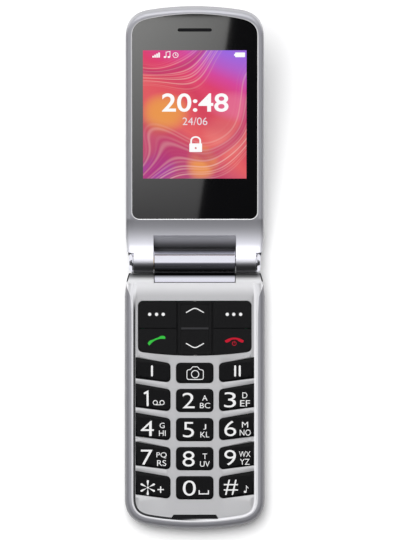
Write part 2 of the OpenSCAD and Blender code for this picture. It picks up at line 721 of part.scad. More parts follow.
// The lid, drawn flat: Y is the distance l from the axis and Z the height h above it.
module at_lid() { at_axis() rotate([lid_tilt, 0, 0]) children(); }
module lid_box(x, l, h) { translate([x[0], l[0], h[0]]) cube([x[1] - x[0], l[1] - l[0], h[1] - h[0]]); }
module lid_plan() polygon(whole_outline(concat([[neck_hw, -knuckle_r - 1]],
    half_outline(lid_w / 2, neck_hw, lid_start))));
module lid_plan_in(inset) { offset(delta = -inset) lid_plan(); }
module lid_form() {
    hw = lid_w / 2;
    heel_at = atan2(heel_h, heel_l);
    heel_far = sqrt(pow(heel_l, 2) + pow(heel_h, 2));
    heel_turn = heel_at - acos((knuckle_r - heel_r) / heel_far) + 360;
    chin_turn = atan2(chin_h, shoulder_run);
    side = concat(
        arc(heel_l, heel_h, heel_r, heel_r, heel_turn, 270),
        arc(reach - lid_foot_w, lid_back_h + lid_foot_h, lid_foot_w, lid_foot_h, 270, 360),
        arc(reach - lid_rim_r, -rim_drop - lid_rim_r, lid_rim_r, lid_rim_r, 0, 90),
        arc(shoulder_run, chin_h, chin_r, chin_r, 270, 180 + chin_turn),
        arc(0, 0, knuckle_r, knuckle_r, chin_turn + 5, heel_turn - 5, 24));
    top_hw = hw - lid_rim_r;
    across = concat(
        arc(-hw + lid_foot_w, lid_back_h + lid_foot_h, lid_foot_w, lid_foot_h, 180, 270),
        arc(hw - lid_foot_w, lid_back_h + lid_foot_h, lid_foot_w, lid_foot_h, 270, 360),
        arc(top_hw, -rim_drop - lid_rim_r, lid_rim_r, lid_rim_r, 0, 90),
        [[top_hw, knuckle_r], [-top_hw, knuckle_r]],
        arc(-top_hw, -rim_drop - lid_rim_r, lid_rim_r, lid_rim_r, 90, 180));
    intersection() {
        slab(lid_back_h, knuckle_r) lid_plan();
        along_x(-hw, hw) polygon(side);
        translate([0, reach, 0]) rotate([90, 0, 0]) linear_extrude(reach + knuckle_r + 1) polygon(across);
    }
}
module window_plan(inset = 0) {
    top = reach - window_rim;
    corner_x = window_hw - window_corner_w;
    corner_y = top - window_arch + sqrt(pow(window_arch, 2) - pow(corner_x, 2));
    crest_y = corner_y - window_corner_w * corner_x / window_arch;
    foot_x = window_hw - window_corner;
    offset(delta = -inset) polygon(whole_outline(concat([[foot_x, window_foot]],
        arc(foot_x, window_foot + window_corner, window_corner, window_corner, 270, 360),
        curve([window_hw, top - window_corner_l], [window_hw, crest_y], [corner_x, corner_y], 10),
        [for (i = [1:5]) let (x = corner_x * (1 - i / 5))
            [x, top - window_arch + sqrt(pow(window_arch, 2) - x * x)]])));
}
module lid_screw_spots() both_sides() for (l = lid_screw_ls) translate([lid_screw_x, l, 0]) children();
module pill(length, width) rounded(width / 2 - 0.01) square([length, width], center = true);

// Lid: shells and window.
module lid_inner_shell() color("#b8b8c0") at_lid() difference() {
    union() {
        difference() {
            intersection() {
                lid_form();
                lid_box([-lid_w, lid_w], [-knuckle_r - 1, reach + 1], [lid_seam_h, knuckle_r]);
            }
            lid_box([-chin_hw, chin_hw], [scoop_l + 1, window_foot + 2],
                [lid_seam_h - 1, -rim_drop - wall]);
            slab(lid_seam_h - 1, glass_h - window_t) intersection() {
                lid_plan_in(wall);
                translate([-lid_w, window_foot + 1.3]) square([2 * lid_w, reach]);
            }
        }
        lid_screw_spots() slab(lid_seam_h, glass_h - window_t) circle(boss_r - 0.25);
    }
    slab(glass_h - window_t, 1) window_plan(-fit);
    chin_hollow();
    lid_screw_spots() slab(lid_seam_h - 1, glass_h - window_t - 0.3) circle(screw_r + fit);
    hinge_cuts();
}
// The chin falls in a slow sweep from the hinge to the window, which leaves room for the rocker.
module chin_hollow() {
    span = asin((window_foot - shoulder_run) / chin_sweep_r);
    along_x(-chin_hw, chin_hw) polygon(concat(
        arc(window_foot, glass_h + chin_sweep_r, chin_sweep_r, chin_sweep_r, 270 - span, 270),
        [[window_foot + 2, glass_h], [window_foot + 2, 1], [shoulder_run, 1]]));
}
module hinge_cuts() {
    rod(-knuckle_in, knuckle_in, barrel_r + hinge_gap);
    translate([0, barrel_r, scoop_r - rim_drop - scoop_d]) rod(-knuckle_in, knuckle_in, scoop_r);
    lid_box([-knuckle_in, knuckle_in], [-knuckle_r - 2, barrel_r], [-barrel_r, knuckle_r + 1]);
    both_sides() rod(knuckle_out, lid_w, knuckle_r + 0.15);
    rod(-knuckle_out - 1, 0, pin_r + 0.02);
    rod(0, knuckle_out + 1, shaft_r + fit);
    translate([knuckle_in + 1, 0, 0]) rotate([0, 90, 0]) cylinder(h = knuckle_l, r = hex_r + fit, $fn = 6);
}
module lid_outer_shell() color("#9a9aa2") at_lid() difference() {
    union() {
        difference() {
            intersection() {
                lid_form();
                lid_box([-lid_w, lid_w], [-knuckle_r, reach + 1], [lid_back_h, lid_seam_h]);
            }
            slab(lid_floor_h, lid_seam_h + 1) intersection() {
                lid_plan_in(wall);
                translate([-lid_w, heel_l + 1]) square([2 * lid_w, reach - heel_l - 1 - wall - 1]);
            }
        }
        lid_screw_spots() slab(lid_floor_h - 0.1, lid_seam_h) circle(boss_r);
    }
    rod(-knuckle_in, knuckle_in, barrel_r + hinge_gap);
    translate([0, camera_at, 0]) {
        slab(lid_back_h - 1, camera_seat_h) circle(camera_r + fit);
        slab(lid_back_h - 1, lid_floor_h + 1) circle(camera_r - 0.8);
    }
    lid_screw_spots() {
        slab(lid_back_h - 1, lid_back_h + 2 * head_t) circle(screw_head_r + pocket_gap);
        slab(lid_back_h - 1, lid_seam_h + 1) circle(screw_r + fit);
    }
}
module lid_window() color("#101014", 0.6) at_lid() slab(glass_h - window_t, glass_h) difference() {
    window_plan();
    translate([0, slot_at]) pill(slot_l, slot_w);
}

// Inside the lid.
module screen_slab(h0, h1, grow) lid_box([-screen_w / 2 - grow, screen_w / 2 + grow],
    [screen_foot - 2.6 * grow, screen_foot + screen_l + grow], [h0, h1]);
module lcd_panel() color("#e0527a") at_lid() screen_slab(screen_h - screen_t, screen_h, screen_border);
module lcd_backlight() color("#dcdcd8") at_lid() screen_slab(light_h - light_t, light_h, screen_border);
module earpiece() color("#26262a") at_lid() translate([0, slot_at, 0])
    slab(screen_h - earpiece_h, screen_h) square([slot_l + 1, earpiece_d], center = true);
module earpiece_mesh() color("#5a5a5e") at_lid() translate([0, slot_at, 0])
    slab(glass_h - window_t, glass_h - lid_gap) pill(slot_l - pocket_gap, slot_w - pocket_gap);
module lid_board() color("#1d5a34") at_lid() slab(lid_board_h - lid_board_t, lid_board_h) difference() {
    board_w = screen_w + 2 * screen_border;
    intersection() {
        lid_plan_in(wall + board_inset);
        translate([-board_w / 2, lid_board_l])
            square([board_w, slot_at - earpiece_d / 2 - 0.8 - lid_board_l]);
    }
    lid_screw_spots() circle(boss_r + pocket_gap);
}
module camera_module() color("#26262a") at_lid() translate([0, camera_at, 0]) {
    slab(lid_floor_h + pocket_gap, lid_board_h - lid_board_t) square(camera_w, center = true);
    slab(camera_seat_h + pocket_gap, lid_floor_h + 2 * pocket_gap) circle(camera_r - 1);
}
module camera_window() color("#101014", 0.6) at_lid() translate([0, camera_at, 0])
    slab(lid_back_h + fit, camera_seat_h) circle(camera_r);
module lid_magnet() color("#8a8c90") at_lid() lid_box([sensor_x - magnet_w / 2, sensor_x + magnet_w / 2],
    [sensor_l - 1, sensor_l + 1], [screen_h - magnet_h, screen_h]);
module lid_screws() color("#8a8c90") at_lid() lid_screw_spots()
    screw(lid_back_h + head_t, glass_h - window_t - 0.5);

// Hinge pieces on the lid.
module hinge_caps() color("#d0d0d8") at_lid() both_sides()
    translate([knuckle_out + fit, 0, 0]) rotate([0, 90, 0]) cylinder(h = cap_l, r1 = knuckle_r, r2 = cap_r);
module hinge_shaft() color("#a0a2a6") at_lid() {
    rod(4, knuckle_in + 2, shaft_r);
    rod(cam_x, cam_x + cam_t, cartridge_bore_r - pocket_gap);
    translate([knuckle_in + 1, 0, 0]) rotate([0, 90, 0]) cylinder(h = knuckle_l - 1.2, r = hex_r, $fn = 6);
}
module hinge_pin() color("#a0a2a6") at_lid() difference() {
    rod(-knuckle_out, -barrel_w / 2 + bush_l, pin_r);
    rod(-knuckle_out - 1, 0, pin_bore_r);
}
module lid_flex() color("#b5792c") at_lid() lid_box([-knuckle_out + 1, -knuckle_out + 6],
    [heel_l + 1.5, lid_board_l - fit], [lid_board_h - flex_t, lid_board_h]);

base_rear_shell();
base_side_frame();
base_faceplate();
hinge_barrel_cover();
battery_cover();
battery();
battery_contacts();
main_board();
keypad_dome_sheet();
keypad_mat();
rf_shield();
card_sockets();
charging_socket();
microphone();
mic_grille();
loudspeaker();
vibration_motor();
antenna();
lid_sensor();
base_screws();
hinge_cartridge();
hinge_spring();
hinge_bush();
base_flex();
nav_key(-1, true);  // key_soft_left
nav_key(1, true);  // key_soft_right
nav_key(-1, false);  // key_call
nav_key(1, false);  // key_end
nav_rocker();
deck_key(0, -1);  // key_memory_1
deck_key(0, 0);  // key_camera
deck_key(0, 1);  // key_memory_2
for (i = [0:11]) deck_key(1 + floor(i / 3), i % 3 - 1);
lid_inner_shell();
lid_outer_shell();
lid_window();
lcd_panel();
lcd_backlight();
earpiece();
earpiece_mesh();
lid_board();
camera_module();
camera_window();
lid_magnet();
lid_screws();
hinge_caps();
hinge_shaft();
hinge_pin();
lid_flex();
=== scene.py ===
"""Clamshell phone lying open on its back: the looks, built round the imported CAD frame.

Sizes in the code are in millimetres. Flat drawings use (x, l): x across, l the distance from the hinge
axis along either half. Heights are above the table in the keypad half and above the axis in the lid.
"""
import json
import math

import bmesh
import bpy
import numpy as np
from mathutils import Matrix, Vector
from mathutils.geometry import delaunay_2d_cdt


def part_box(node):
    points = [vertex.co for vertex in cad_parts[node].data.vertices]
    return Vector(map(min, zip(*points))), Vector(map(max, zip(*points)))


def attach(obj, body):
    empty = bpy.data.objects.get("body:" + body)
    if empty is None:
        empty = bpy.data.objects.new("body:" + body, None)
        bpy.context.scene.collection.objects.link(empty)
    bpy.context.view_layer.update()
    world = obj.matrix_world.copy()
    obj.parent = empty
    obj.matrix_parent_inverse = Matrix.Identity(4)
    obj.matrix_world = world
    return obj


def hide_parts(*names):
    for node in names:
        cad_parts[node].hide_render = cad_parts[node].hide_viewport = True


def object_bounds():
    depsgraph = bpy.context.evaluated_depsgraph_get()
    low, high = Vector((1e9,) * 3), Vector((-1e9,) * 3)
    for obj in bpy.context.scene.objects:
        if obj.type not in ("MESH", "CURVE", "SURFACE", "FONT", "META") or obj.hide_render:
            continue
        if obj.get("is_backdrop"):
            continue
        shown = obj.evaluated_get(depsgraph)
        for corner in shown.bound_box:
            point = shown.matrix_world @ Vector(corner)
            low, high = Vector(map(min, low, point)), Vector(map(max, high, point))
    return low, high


bl_info = {
    "name": "Clamshell Phone",
    "version": (1, 0, 0),
    "blender": (4, 5, 0),
    "location": "View3D > Sidebar > Phone",
    "description": "Keypad half, hinge and lid of a clamshell phone, with the stage it is seen on",
    "category": "Object",
}

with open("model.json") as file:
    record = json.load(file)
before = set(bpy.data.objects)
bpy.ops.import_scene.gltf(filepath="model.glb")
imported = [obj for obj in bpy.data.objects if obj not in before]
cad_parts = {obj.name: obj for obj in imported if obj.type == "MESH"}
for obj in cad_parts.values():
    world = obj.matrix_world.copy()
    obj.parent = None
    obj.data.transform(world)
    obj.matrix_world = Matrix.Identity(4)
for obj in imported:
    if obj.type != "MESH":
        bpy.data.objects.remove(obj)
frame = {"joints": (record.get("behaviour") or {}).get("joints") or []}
CAD_BOX = [list(corner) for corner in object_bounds()]
HINGE = next(j for j in frame["joints"] if j["name"] == "lid_hinge")
HINGE_Y, AXIS_Z = HINGE["pos_m"][1] * 1000, HINGE["pos_m"][2] * 1000
TILT = math.radians(180 - HINGE["range_deg"][1])


# ---------------------------------------------------------------- settings

def length(name, mm, text):
    """A size setting, given in millimetres and kept in metres."""
    return bpy.props.FloatProperty(name=name, description=text, default=mm / 1000, min=0,
                                   precision=5, subtype="DISTANCE", unit="LENGTH")


def colour(name, rgb, text):
    """A colour setting, in linear light."""
    return bpy.props.FloatVectorProperty(name=name, description=text, default=(*rgb, 1), size=4,
                                         min=0, max=1, subtype="COLOR")


class PhoneSizes(bpy.types.PropertyGroup):
    base_width: length("Keypad half width", 54, "Width of the keypad half")
    lid_width: length("Lid width", 53.2, "Width of the lid")
    reach: length("Reach", 102.9, "From the hinge axis to either free end")
    base_height: length("Deck height", 10, "Height of the keypad deck above the table")
    lid_thickness: length("Lid thickness", 8.7, "From the lid's rim to its back")
    neck_inset: length("Neck inset", 1.6, "How far each side draws in at the hinge")
    rail_width: length("Rail width", 2.5, "Width of the rounded rail beside the deck")
    rail_height: length("Rail height", 3.3, "Height of the rail's rounding")
    foot_width: length("Foot width", 3.6, "Width of the rounded edge under the keypad half")
    foot_height: length("Foot height", 4.2, "Height of that edge, up to the seam")
    bead_width: length("Bead width", 0.8, "Width of the bright bead inside the rail")
    groove_width: length("Groove width", 0.8, "Width of the groove round the deck")
    groove_depth: length("Groove depth", 0.5, "Depth of that groove")
    shoulder_run: length("Shoulder run", 7.3, "From the axis to the start of the rolled shoulder")
    knuckle_radius: length("Knuckle radius", 4, "Radius of the two lid knuckles")
    barrel_radius: length("Barrel radius", 4.7, "Radius of the centre barrel")
    barrel_width: length("Barrel width", 31.3, "Width of the centre barrel")
    window_side: length("Window side", 2.4, "Rim beside the window")
    window_foot: length("Window foot", 17.2, "From the axis to the window's lower edge")
    window_rim: length("Window rim", 1.7, "Rim between the window and the free end")
    screen_width: length("Picture width", 39.9, "Width of the lit picture")
    screen_foot: length("Picture foot", 33.8, "From the axis to the picture's lower edge")
    screen_head: length("Picture head", 16.7, "From the picture to the free end")
    key_rise: length("Key rise", 0.4, "Height of the key tops above the deck")
    key_gap: length("Key gap", 0.15, "Gap around each key")
    key_edge: length("Key edge", 0.32, "Radius of the key tops' edges")
    mark_height: length("Mark height", 0.012, "Height of the printed marks above the keys")


class PhoneColours(bpy.types.PropertyGroup):
    deck: colour("Deck", (0.60, 0.60, 0.61), "Satin silver paint of the deck")
    lid: colour("Lid", (0.54, 0.54, 0.58), "Silver paint of the lid")
    rail: colour("Rail", (0.17, 0.17, 0.185), "Dark silver of the side frame")
    bead: colour("Bead", (0.78, 0.78, 0.80), "Bright bead beside the rail")
    barrel: colour("Barrel", (0.80, 0.80, 0.88), "Chrome of the hinge barrel")
    key: colour("Keys", (0.0030, 0.0030, 0.0034), "Black of the keys")
    shell: colour("Rear shell", (0.030, 0.030, 0.033), "Fine matt plastic of the rear shell")
    mark: colour("Marks", (0.74, 0.74, 0.74), "White marks on the keys")
    call: colour("Call mark", (0.035, 0.46, 0.05), "Green mark of the call key")
    end: colour("End mark", (0.46, 0.008, 0.024), "Red mark of the end key")
    glass: colour("Window", (0.0022, 0.0022, 0.0026), "Black print behind the window")
    floor: colour("Floor", (0.93, 0.93, 0.93), "Pale floor")


def mm(name):
    """A size setting in millimetres."""
    return getattr(bpy.context.scene.phone_sizes, name) * 1000


def tint(name):
    """A colour setting."""
    return tuple(getattr(bpy.context.scene.phone_colours, name))


# ---------------------------------------------------------------- places

def on_table(x, l, z):
    """Keypad half: across, distance from the axis, height above the table."""
    return Vector((x, HINGE_Y - l, z)) / 1000


def in_lid(x, l, h):
    """Lid: across, distance from the axis, height above the axis with the lid drawn flat."""
    c, s = math.cos(TILT), math.sin(TILT)
    return Vector((x, HINGE_Y + l * c - h * s, AXIS_Z + l * s + h * c)) / 1000


PIXEL = 54 / 140  # millimetres in a pixel of the photograph
PHOTO_X, PHOTO_Y = 194.75, 262.7  # the middle of the phone and the hinge axis, in pixels
GLASS = -2.1  # height of the window's face in the lid


def deck_spot(px, py):
    """Place on the deck of a pixel of the photograph."""
    return (px - PHOTO_X) * PIXEL, (py - PHOTO_Y) * PIXEL


def lid_spot(px, py):
    """Place on the window of a pixel of the photograph."""
    away = (PHOTO_Y - py) * PIXEL + GLASS * math.sin(TILT)
    return (px - PHOTO_X) * PIXEL, away / math.cos(TILT)


# ---------------------------------------------------------------- outlines

def arc(cx, cy, rx, ry, start, stop, n):
    """Points of an ellipse from one angle to another, in degrees."""
    turns = [math.radians(start + (stop - start) * i / n) for i in range(n + 1)]
    return [(cx + rx * math.cos(a), cy + ry * math.sin(a)) for a in turns]


def curve(a, b, c, n):
    """Quadratic curve from a to c, drawn towards b."""
    steps = [i / n for i in range(n + 1)]
    return [tuple((1 - u) ** 2 * p + 2 * u * (1 - u) * q + u * u * r for p, q, r in zip(a, b, c))
            for u in steps]


def half_outline(hw, start):
    """Right half of either half's outline, from the hinge to the middle of the arched free end."""
    reach, neck = mm("reach"), mm("base_width") / 2 - mm("neck_inset")
    arch, flare, corner_w, corner_l = 106, 9, 9, 12
    arch_x = hw - corner_w
    rise = math.sqrt(arch ** 2 - arch_x ** 2)
    corner_y = reach - arch + rise
    crest = corner_y - corner_w * arch_x / rise
    side = [(hw, start + flare + (reach - corner_l - start - flare) * i / 12) for i in range(1, 12)]
    crown = [arch_x * (1 - i / 12) for i in range(1, 13)]
    return (curve((neck, start), (hw - flare / 18, start + flare / 4), (hw, start + flare), 14) + side
            + curve((hw, reach - corner_l), (hw, crest), (arch_x, corner_y), 20)
            + [(x, reach - arch + math.sqrt(arch ** 2 - x * x)) for x in crown])


def both_halves(half):
    return half + [(-x, l) for x, l in half[-2::-1]]


def base_outline():
    return both_halves(half_outline(mm("base_width") / 2, shoulder_end()))


def lid_outline():
    return both_halves(half_outline(mm("lid_width") / 2, 0.5))


def window_outline(grow=0.0):
    """Outline of the window, grown by a clearance."""
    hw = mm("lid_width") / 2 - mm("window_side")
    foot, top = mm("window_foot"), mm("reach") - mm("window_rim")
    arch, corner_w, corner_l, foot_r = 80, 6, 9, 2.9
    corner_x = hw - corner_w
    rise = math.sqrt(arch ** 2 - corner_x ** 2)
    corner_y = top - arch + rise
    crown = [corner_x * (1 - i / 12) for i in range(1, 13)]
    half = (arc(hw - foot_r, foot + foot_r, foot_r, foot_r, 270, 360, 12)
            + [(hw, foot + foot_r + (top - corner_l - foot - foot_r) * i / 10) for i in range(1, 10)]
            + curve((hw, top - corner_l), (hw, corner_y - corner_w * corner_x / rise), (corner_x, corner_y), 18)
            + [(x, top - arch + math.sqrt(arch ** 2 - x * x)) for x in crown])
    return inset(both_halves(half), -grow)


def ring_at(x, l, r, n=23):
    """A small circle, closed by its first point."""
    return arc(x, l, r, r, 0, 360 * n / (n + 1), n)


def rounded_box(x0, x1, l0, l1, r, n=6):
    corners = [(x1 - r, l0 + r, 270), (x1 - r, l1 - r, 0), (x0 + r, l1 - r, 90), (x0 + r, l0 + r, 180)]
    return [p for cx, cl, a in corners for p in arc(cx, cl, r, r, a, a + 90, n)]


def round_corners(points, r, n=6):
    """Rounds the corners of a straight-sided loop that runs counter-clockwise."""
    out = []
    for i, p in enumerate(points):
        a, b, c = (np.array(q, float) for q in (points[i - 1], p, points[(i + 1) % len(points)]))
        u, v = (a - b) / np.linalg.norm(a - b), (c - b) / np.linalg.norm(c - b)
        half = math.acos(float(np.clip(u @ v, -1, 1))) / 2
        cut = min(r / math.tan(half), 0.49 * np.linalg.norm(a - b), 0.49 * np.linalg.norm(c - b))
        out += curve(b + u * cut, b + (u + v) * cut * 0.08, b + v * cut, n)
    return [tuple(map(float, p)) for p in out]


def inset(loop, d, closed=True):
    """Moves a counter-clockwise loop inwards by d, or outwards where d is below zero."""
    p = np.array(loop, float)
    ahead, behind = np.roll(p, -1, 0) - p, p - np.roll(p, 1, 0)
    if not closed:
        ahead[-1], behind[0] = behind[-1], ahead[0]
    unit = [v / np.maximum(np.linalg.norm(v, axis=1, keepdims=True), 1e-9) for v in (ahead, behind)]
    left = [np.stack((-v[:, 1], v[:, 0]), 1) for v in unit]
    mid = left[0] + left[1]
    mid /= np.maximum(np.linalg.norm(mid, axis=1, keepdims=True), 1e-9)
    mitre = np.maximum((mid * left[0]).sum(1, keepdims=True), 0.35)
    return [tuple(map(float, q)) for q in p + mid * d / mitre]


def area(loop):
    """Twice the area inside a loop, below zero where it runs clockwise."""
    return sum(a[0] * b[1] - b[0] * a[1] for a, b in zip(loop, loop[1:] + loop[:1]))


def mirror(points):
    """Mirrored in x, and turned round so that it still runs counter-clockwise."""
    return [(-x, l) for x, l in reversed(points)]


def smooth(u):
    """0 to 1, eased at both ends."""
    u = min(max(u, 0.0), 1.0)
    return u * u * (3 - 2 * u)


RIM_DROP = 1.5  # the lid's rim lies this far below the axis


def chin_radius():
    """Radius of the chin where it rises to the knuckles, which it meets without a crease."""
    k = mm("knuckle_radius")
    return (mm("shoulder_run") ** 2 + RIM_DROP ** 2 - k * k) / (2 * (k + RIM_DROP))


def shoulder_radius():
    """Radius of the deck's rolled end, a clearance less than the chin's."""
    return chin_radius() - 0.3


def shoulder_end():
    return mm("shoulder_run") - shoulder_radius()


# ---------------------------------------------------------------- meshes

def inside(points, loop):
    """Which of the points lie inside the loop."""
    p, q = np.array(loop, float), np.roll(np.array(loop, float), -1, 0)
    x, y = points[:, :1], points[:, 1:]
    crosses = (p[:, 1] > y) != (q[:, 1] > y)
    with np.errstate(divide="ignore", invalid="ignore"):
        at = p[:, 0] + (y - p[:, 1]) * (q[:, 0] - p[:, 0]) / (q[:, 1] - p[:, 1])
    return ((crosses & (x < at)).sum(1) % 2).astype(bool)


class Skin:
    """Points and faces of one piece. place() takes a drawing's point to the frame's metres."""

    def __init__(self, place):
        self.place, self.points, self.faces = place, [], []

    def add(self, points):
        start = len(self.points)
        self.points += [self.place(*p) for p in points]
        return range(start, len(self.points))

    def strips(self, rings, closed=True):
        """Faces between neighbouring rings of as many points each."""
        rows = [self.add(ring) for ring in rings]
        for a, b in zip(rows, rows[1:]):
            for i in range(len(a) if closed else len(a) - 1):
                j = (i + 1) % len(a)
                self.faces.append((a[i], a[j], b[j], b[i]))

    def join(self, other):
        """Takes over the points and faces of another skin."""
        self.faces += [tuple(i + len(self.points) for i in f) for f in other.faces]
        self.points += other.points

    def sheet(self, loops, holes, height, step=None, extra=()):
        """Triangles that fill the loops without the holes, following height(x, l)."""
        points, edges = [], []
        for loop in [*loops, *holes]:
            n = len(points)
            points += loop
            edges += [(n + i, n + (i + 1) % len(loop)) for i in range(len(loop))]
        if step:
            p = np.array(loops[0])
            xs = np.arange(p[:, 0].min() + step / 2, p[:, 0].max(), step)
            ls = np.arange(p[:, 1].min() + step / 2, p[:, 1].max(), step)
            grid = np.array([(x, l) for l in ls for x in xs])
            keep = np.zeros(len(grid), bool)
            for loop in loops:
                keep |= inside(grid, inset(loop, step / 3))
            for hole in holes:
                keep &= ~inside(grid, inset(hole, -step / 3))
            points += [tuple(map(float, g)) for g in grid[keep]]
        points += list(extra)
        made = delaunay_2d_cdt([Vector(p) for p in points], edges, [], 0, 1e-5)
        spread = np.array([tuple(v) for v in made[0]])
        middle = np.array([spread[list(f)].mean(0) for f in made[2]])
        keep = np.zeros(len(middle), bool)
        for loop in loops:
            keep |= inside(middle, loop)
        for hole in holes:
            keep &= ~inside(middle, hole)
        rows = self.add([(x, l, height(x, l)) for x, l in spread.tolist()])
        self.faces += [tuple(rows[i] for i in f) for f, k in zip(made[2], keep) if k]

    def edge(self, loop, height, radius, wall, outer=True):
        """A rounded edge and a wall below it; returns the loop where the flat starts."""
        side, turns = 1 if outer else -1, [math.pi / 8 * i for i in range(5)]
        rings = [[(x, l, height(x, l) - radius - wall) for x, l in loop]]
        for a in turns:
            ring = inset(loop, side * radius * (1 - math.cos(a)))
            rings.append([(x, l, height(x, l) - radius * (1 - math.sin(a))) for x, l in ring])
        self.strips(rings)
        return [(x, l) for x, l, _ in rings[-1]]

    def plate(self, loop, height, radius, wall, holes=(), hole_radius=0.12, hole_wall=0.8, step=None):
        """A plate with rounded edges outside and round its holes."""
        outer = self.edge(loop, height, radius, wall)
        openings = [self.edge(h, height, hole_radius, hole_wall, outer=False) for h in holes]
        self.sheet([outer], openings, height, step)

    def build(self, name, material, body, slot, replaces=(), sharp=35, weld=1e-6):
        """Makes the object, lets it ride on its body and hides the CAD parts that it replaces."""
        mesh = bpy.data.meshes.new(name)
        mesh.from_pydata(self.points, [], self.faces)
        work = bmesh.new()
        work.from_mesh(mesh)
        bmesh.ops.remove_doubles(work, verts=work.verts, dist=weld)
        bmesh.ops.dissolve_degenerate(work, edges=work.edges, dist=1e-7)
        bmesh.ops.recalc_face_normals(work, faces=work.faces)
        work.to_mesh(mesh)
        work.free()
        mesh.polygons.foreach_set("use_smooth", [True] * len(mesh.polygons))
        mesh.set_sharp_from_angle(angle=math.radians(sharp))
        piece = bpy.data.objects.new(name, mesh)
        bpy.context.scene.collection.objects.link(piece)
        mesh.materials.append(material)
        piece.modifiers.new("Even shading", "WEIGHTED_NORMAL").keep_sharp = True
        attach(piece, body)
        if replaces:
            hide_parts(*replaces)
        return piece


def flat(h):
    """The height of a level surface."""
    return lambda x, l: h


# ---------------------------------------------------------------- finishes

class Wire:
    """One shader socket; sums on it add their Math nodes to the tree."""

    def __init__(self, finish, socket):
        self.finish, self.socket = finish, socket

    def maths(self, operation, *values, clamp=False):
        return self.finish.node("ShaderNodeMath", {"operation": operation, "use_clamp": clamp},
                                {i: v for i, v in enumerate(values)})

    def __add__(self, other): return self.maths("ADD", self, other)
    def __sub__(self, other): return self.maths("SUBTRACT", self, other)
    def __mul__(self, other): return self.maths("MULTIPLY", self, other)
    def __truediv__(self, other): return self.maths("DIVIDE", self, other)
    def __pow__(self, other): return self.maths("POWER", self, other)
    def __rsub__(self, other): return self.maths("SUBTRACT", other, self)
    def __abs__(self): return self.maths("ABSOLUTE", self)
    __radd__, __rmul__ = __add__, __mul__

    def clamp(self): return self.maths("ADD", self, 0, clamp=True)
    def sine(self): return self.maths("SINE", self)

    def ramp(self, start, stop):
        """0 at start, 1 at stop, eased between."""
        return self.finish.node("ShaderNodeMapRange", {"interpolation_type": "SMOOTHSTEP"},
                                {"Value": self, "From Min": start, "From Max": stop}, "Result")


class Finish:
    """A material, light or world tree while it is being written."""

    def __init__(self, name, owner=None):
        self.owner = owner or bpy.data.materials.new(name)
        self.owner.use_nodes = True
        self.tree = self.owner.node_tree
        self.shader = next((n for n in self.tree.nodes if n.type == "BSDF_PRINCIPLED"), None)

    def node(self, kind, settings=None, values=None, out=0):
        """Adds a node: its settings first, then values or links on its sockets."""
        made = self.tree.nodes.new(kind)
        for key, value in (settings or {}).items():
            if key == "stops":
                while len(made.color_ramp.elements) < len(value):
                    made.color_ramp.elements.new(0.5)
                for element, (at, rgb) in zip(made.color_ramp.elements, value):
                    element.position, element.color = at, (*rgb, 1)
            else:
                setattr(made, key, value)
        for key, value in (values or {}).items():
            self.feed(made.inputs[key], value)
        return Wire(self, made.outputs[out])

    def feed(self, socket, value):
        if isinstance(value, Wire):
            self.tree.links.new(value.socket, socket)
        elif isinstance(value, (tuple, list)) and len(value) == 3 and socket.type == "RGBA":
            socket.default_value = (*value, 1)
        else:
            socket.default_value = value

    def set(self, **values):
        """Values or links for the surface shader; underscores stand for spaces."""
        for key, value in values.items():
            self.feed(self.shader.inputs[key.replace("_", " ")], value)
        return self

    def where(self):
        """The place on the object, in millimetres."""
        return self.scale(self.node("ShaderNodeTexCoord", out="Object"), 1000)

    def axes(self, vector=None):
        """The three parts of a vector, or of the place in millimetres."""
        at = vector or self.where()
        return [self.node("ShaderNodeSeparateXYZ", values={0: at}, out=i) for i in range(3)]

    def noise(self, scale, detail, rough=0.5, stretch=None, distort=0.0):
        """Noise with scale features in a millimetre, from 0 to 1."""
        at = self.where()
        if stretch:
            at = self.node("ShaderNodeVectorMath", {"operation": "MULTIPLY"}, {0: at, 1: stretch})
        return self.node("ShaderNodeTexNoise", None, {"Vector": at, "Scale": scale, "Detail": detail,
                                                      "Roughness": rough, "Distortion": distort})

    def mix(self, factor, a, b):
        return self.node("ShaderNodeMix", {"data_type": "RGBA"}, {0: factor, 6: a, 7: b}, 2)

    def scale(self, colour, by):
        return self.node("ShaderNodeVectorMath", {"operation": "SCALE"}, {0: colour, "Scale": by})

    def bump(self, height, strength, depth):
        """A bump of the given depth in millimetres."""
        self.set(Normal=self.node("ShaderNodeBump", None, {"Height": height, "Strength": strength,
                                                           "Distance": depth / 1000}))
        return self


def shade(rgb, by):
    """A colour made darker or lighter."""
    return tuple(min(1, c * by) for c in rgb[:3])


def silver_paint(name, rgb, metal, rough, flake=0.05, sweep=None):
    """Metallic paint: fine flakes, a trace of orange peel and slow unevenness in its gloss.

    sweep turns the finish into painted light and shade: the brightness and the metal share of the paint at each
    place.
    """
    f = Finish(name)
    # sweep gives painted light and shade, as brightness and metal share
    bright, share = sweep(f) if sweep else (1.0, metal)
    flakes = f.noise(9, 2, 0.7)
    cloud = f.noise(0.12, 3)
    wear = f.noise(0.9, 5, 0.65)
    base = f.mix(flakes, shade(rgb, 1 - flake), shade(rgb, 1 + flake))
    if sweep:
        base = f.scale(base, bright)
    f.set(Base_Color=base, Metallic=share,
          Roughness=rough + (cloud - 0.5) * 0.06 + (wear - 0.5) * 0.05, Coat_Weight=0.25, Coat_Roughness=0.12)
    return f.bump(flakes * 0.5 + f.noise(1.6, 1), 0.25, 0.006).owner


def chrome(name, rgb, rough, sweep=None):
    """Polished plating with faint polishing lines and handling haze.

    sweep turns the finish into painted light and shade: the plating's brightness at each place.
    """
    f = Finish(name)
    lines = f.noise(3, 2, 0.5, stretch=(0.15, 6, 6))
    haze = f.noise(0.35, 4)
    base = f.mix(haze, shade(rgb, 0.95), rgb[:3])
    # painted light and shade from sweep scale the plating's colour
    if sweep:
        base = f.scale(base, sweep(f))
    f.set(Base_Color=base, Metallic=1.0,
          Roughness=rough + (haze - 0.5) * 0.05 + (lines - 0.5) * 0.03)
    return f.bump(lines, 0.12, 0.004).owner


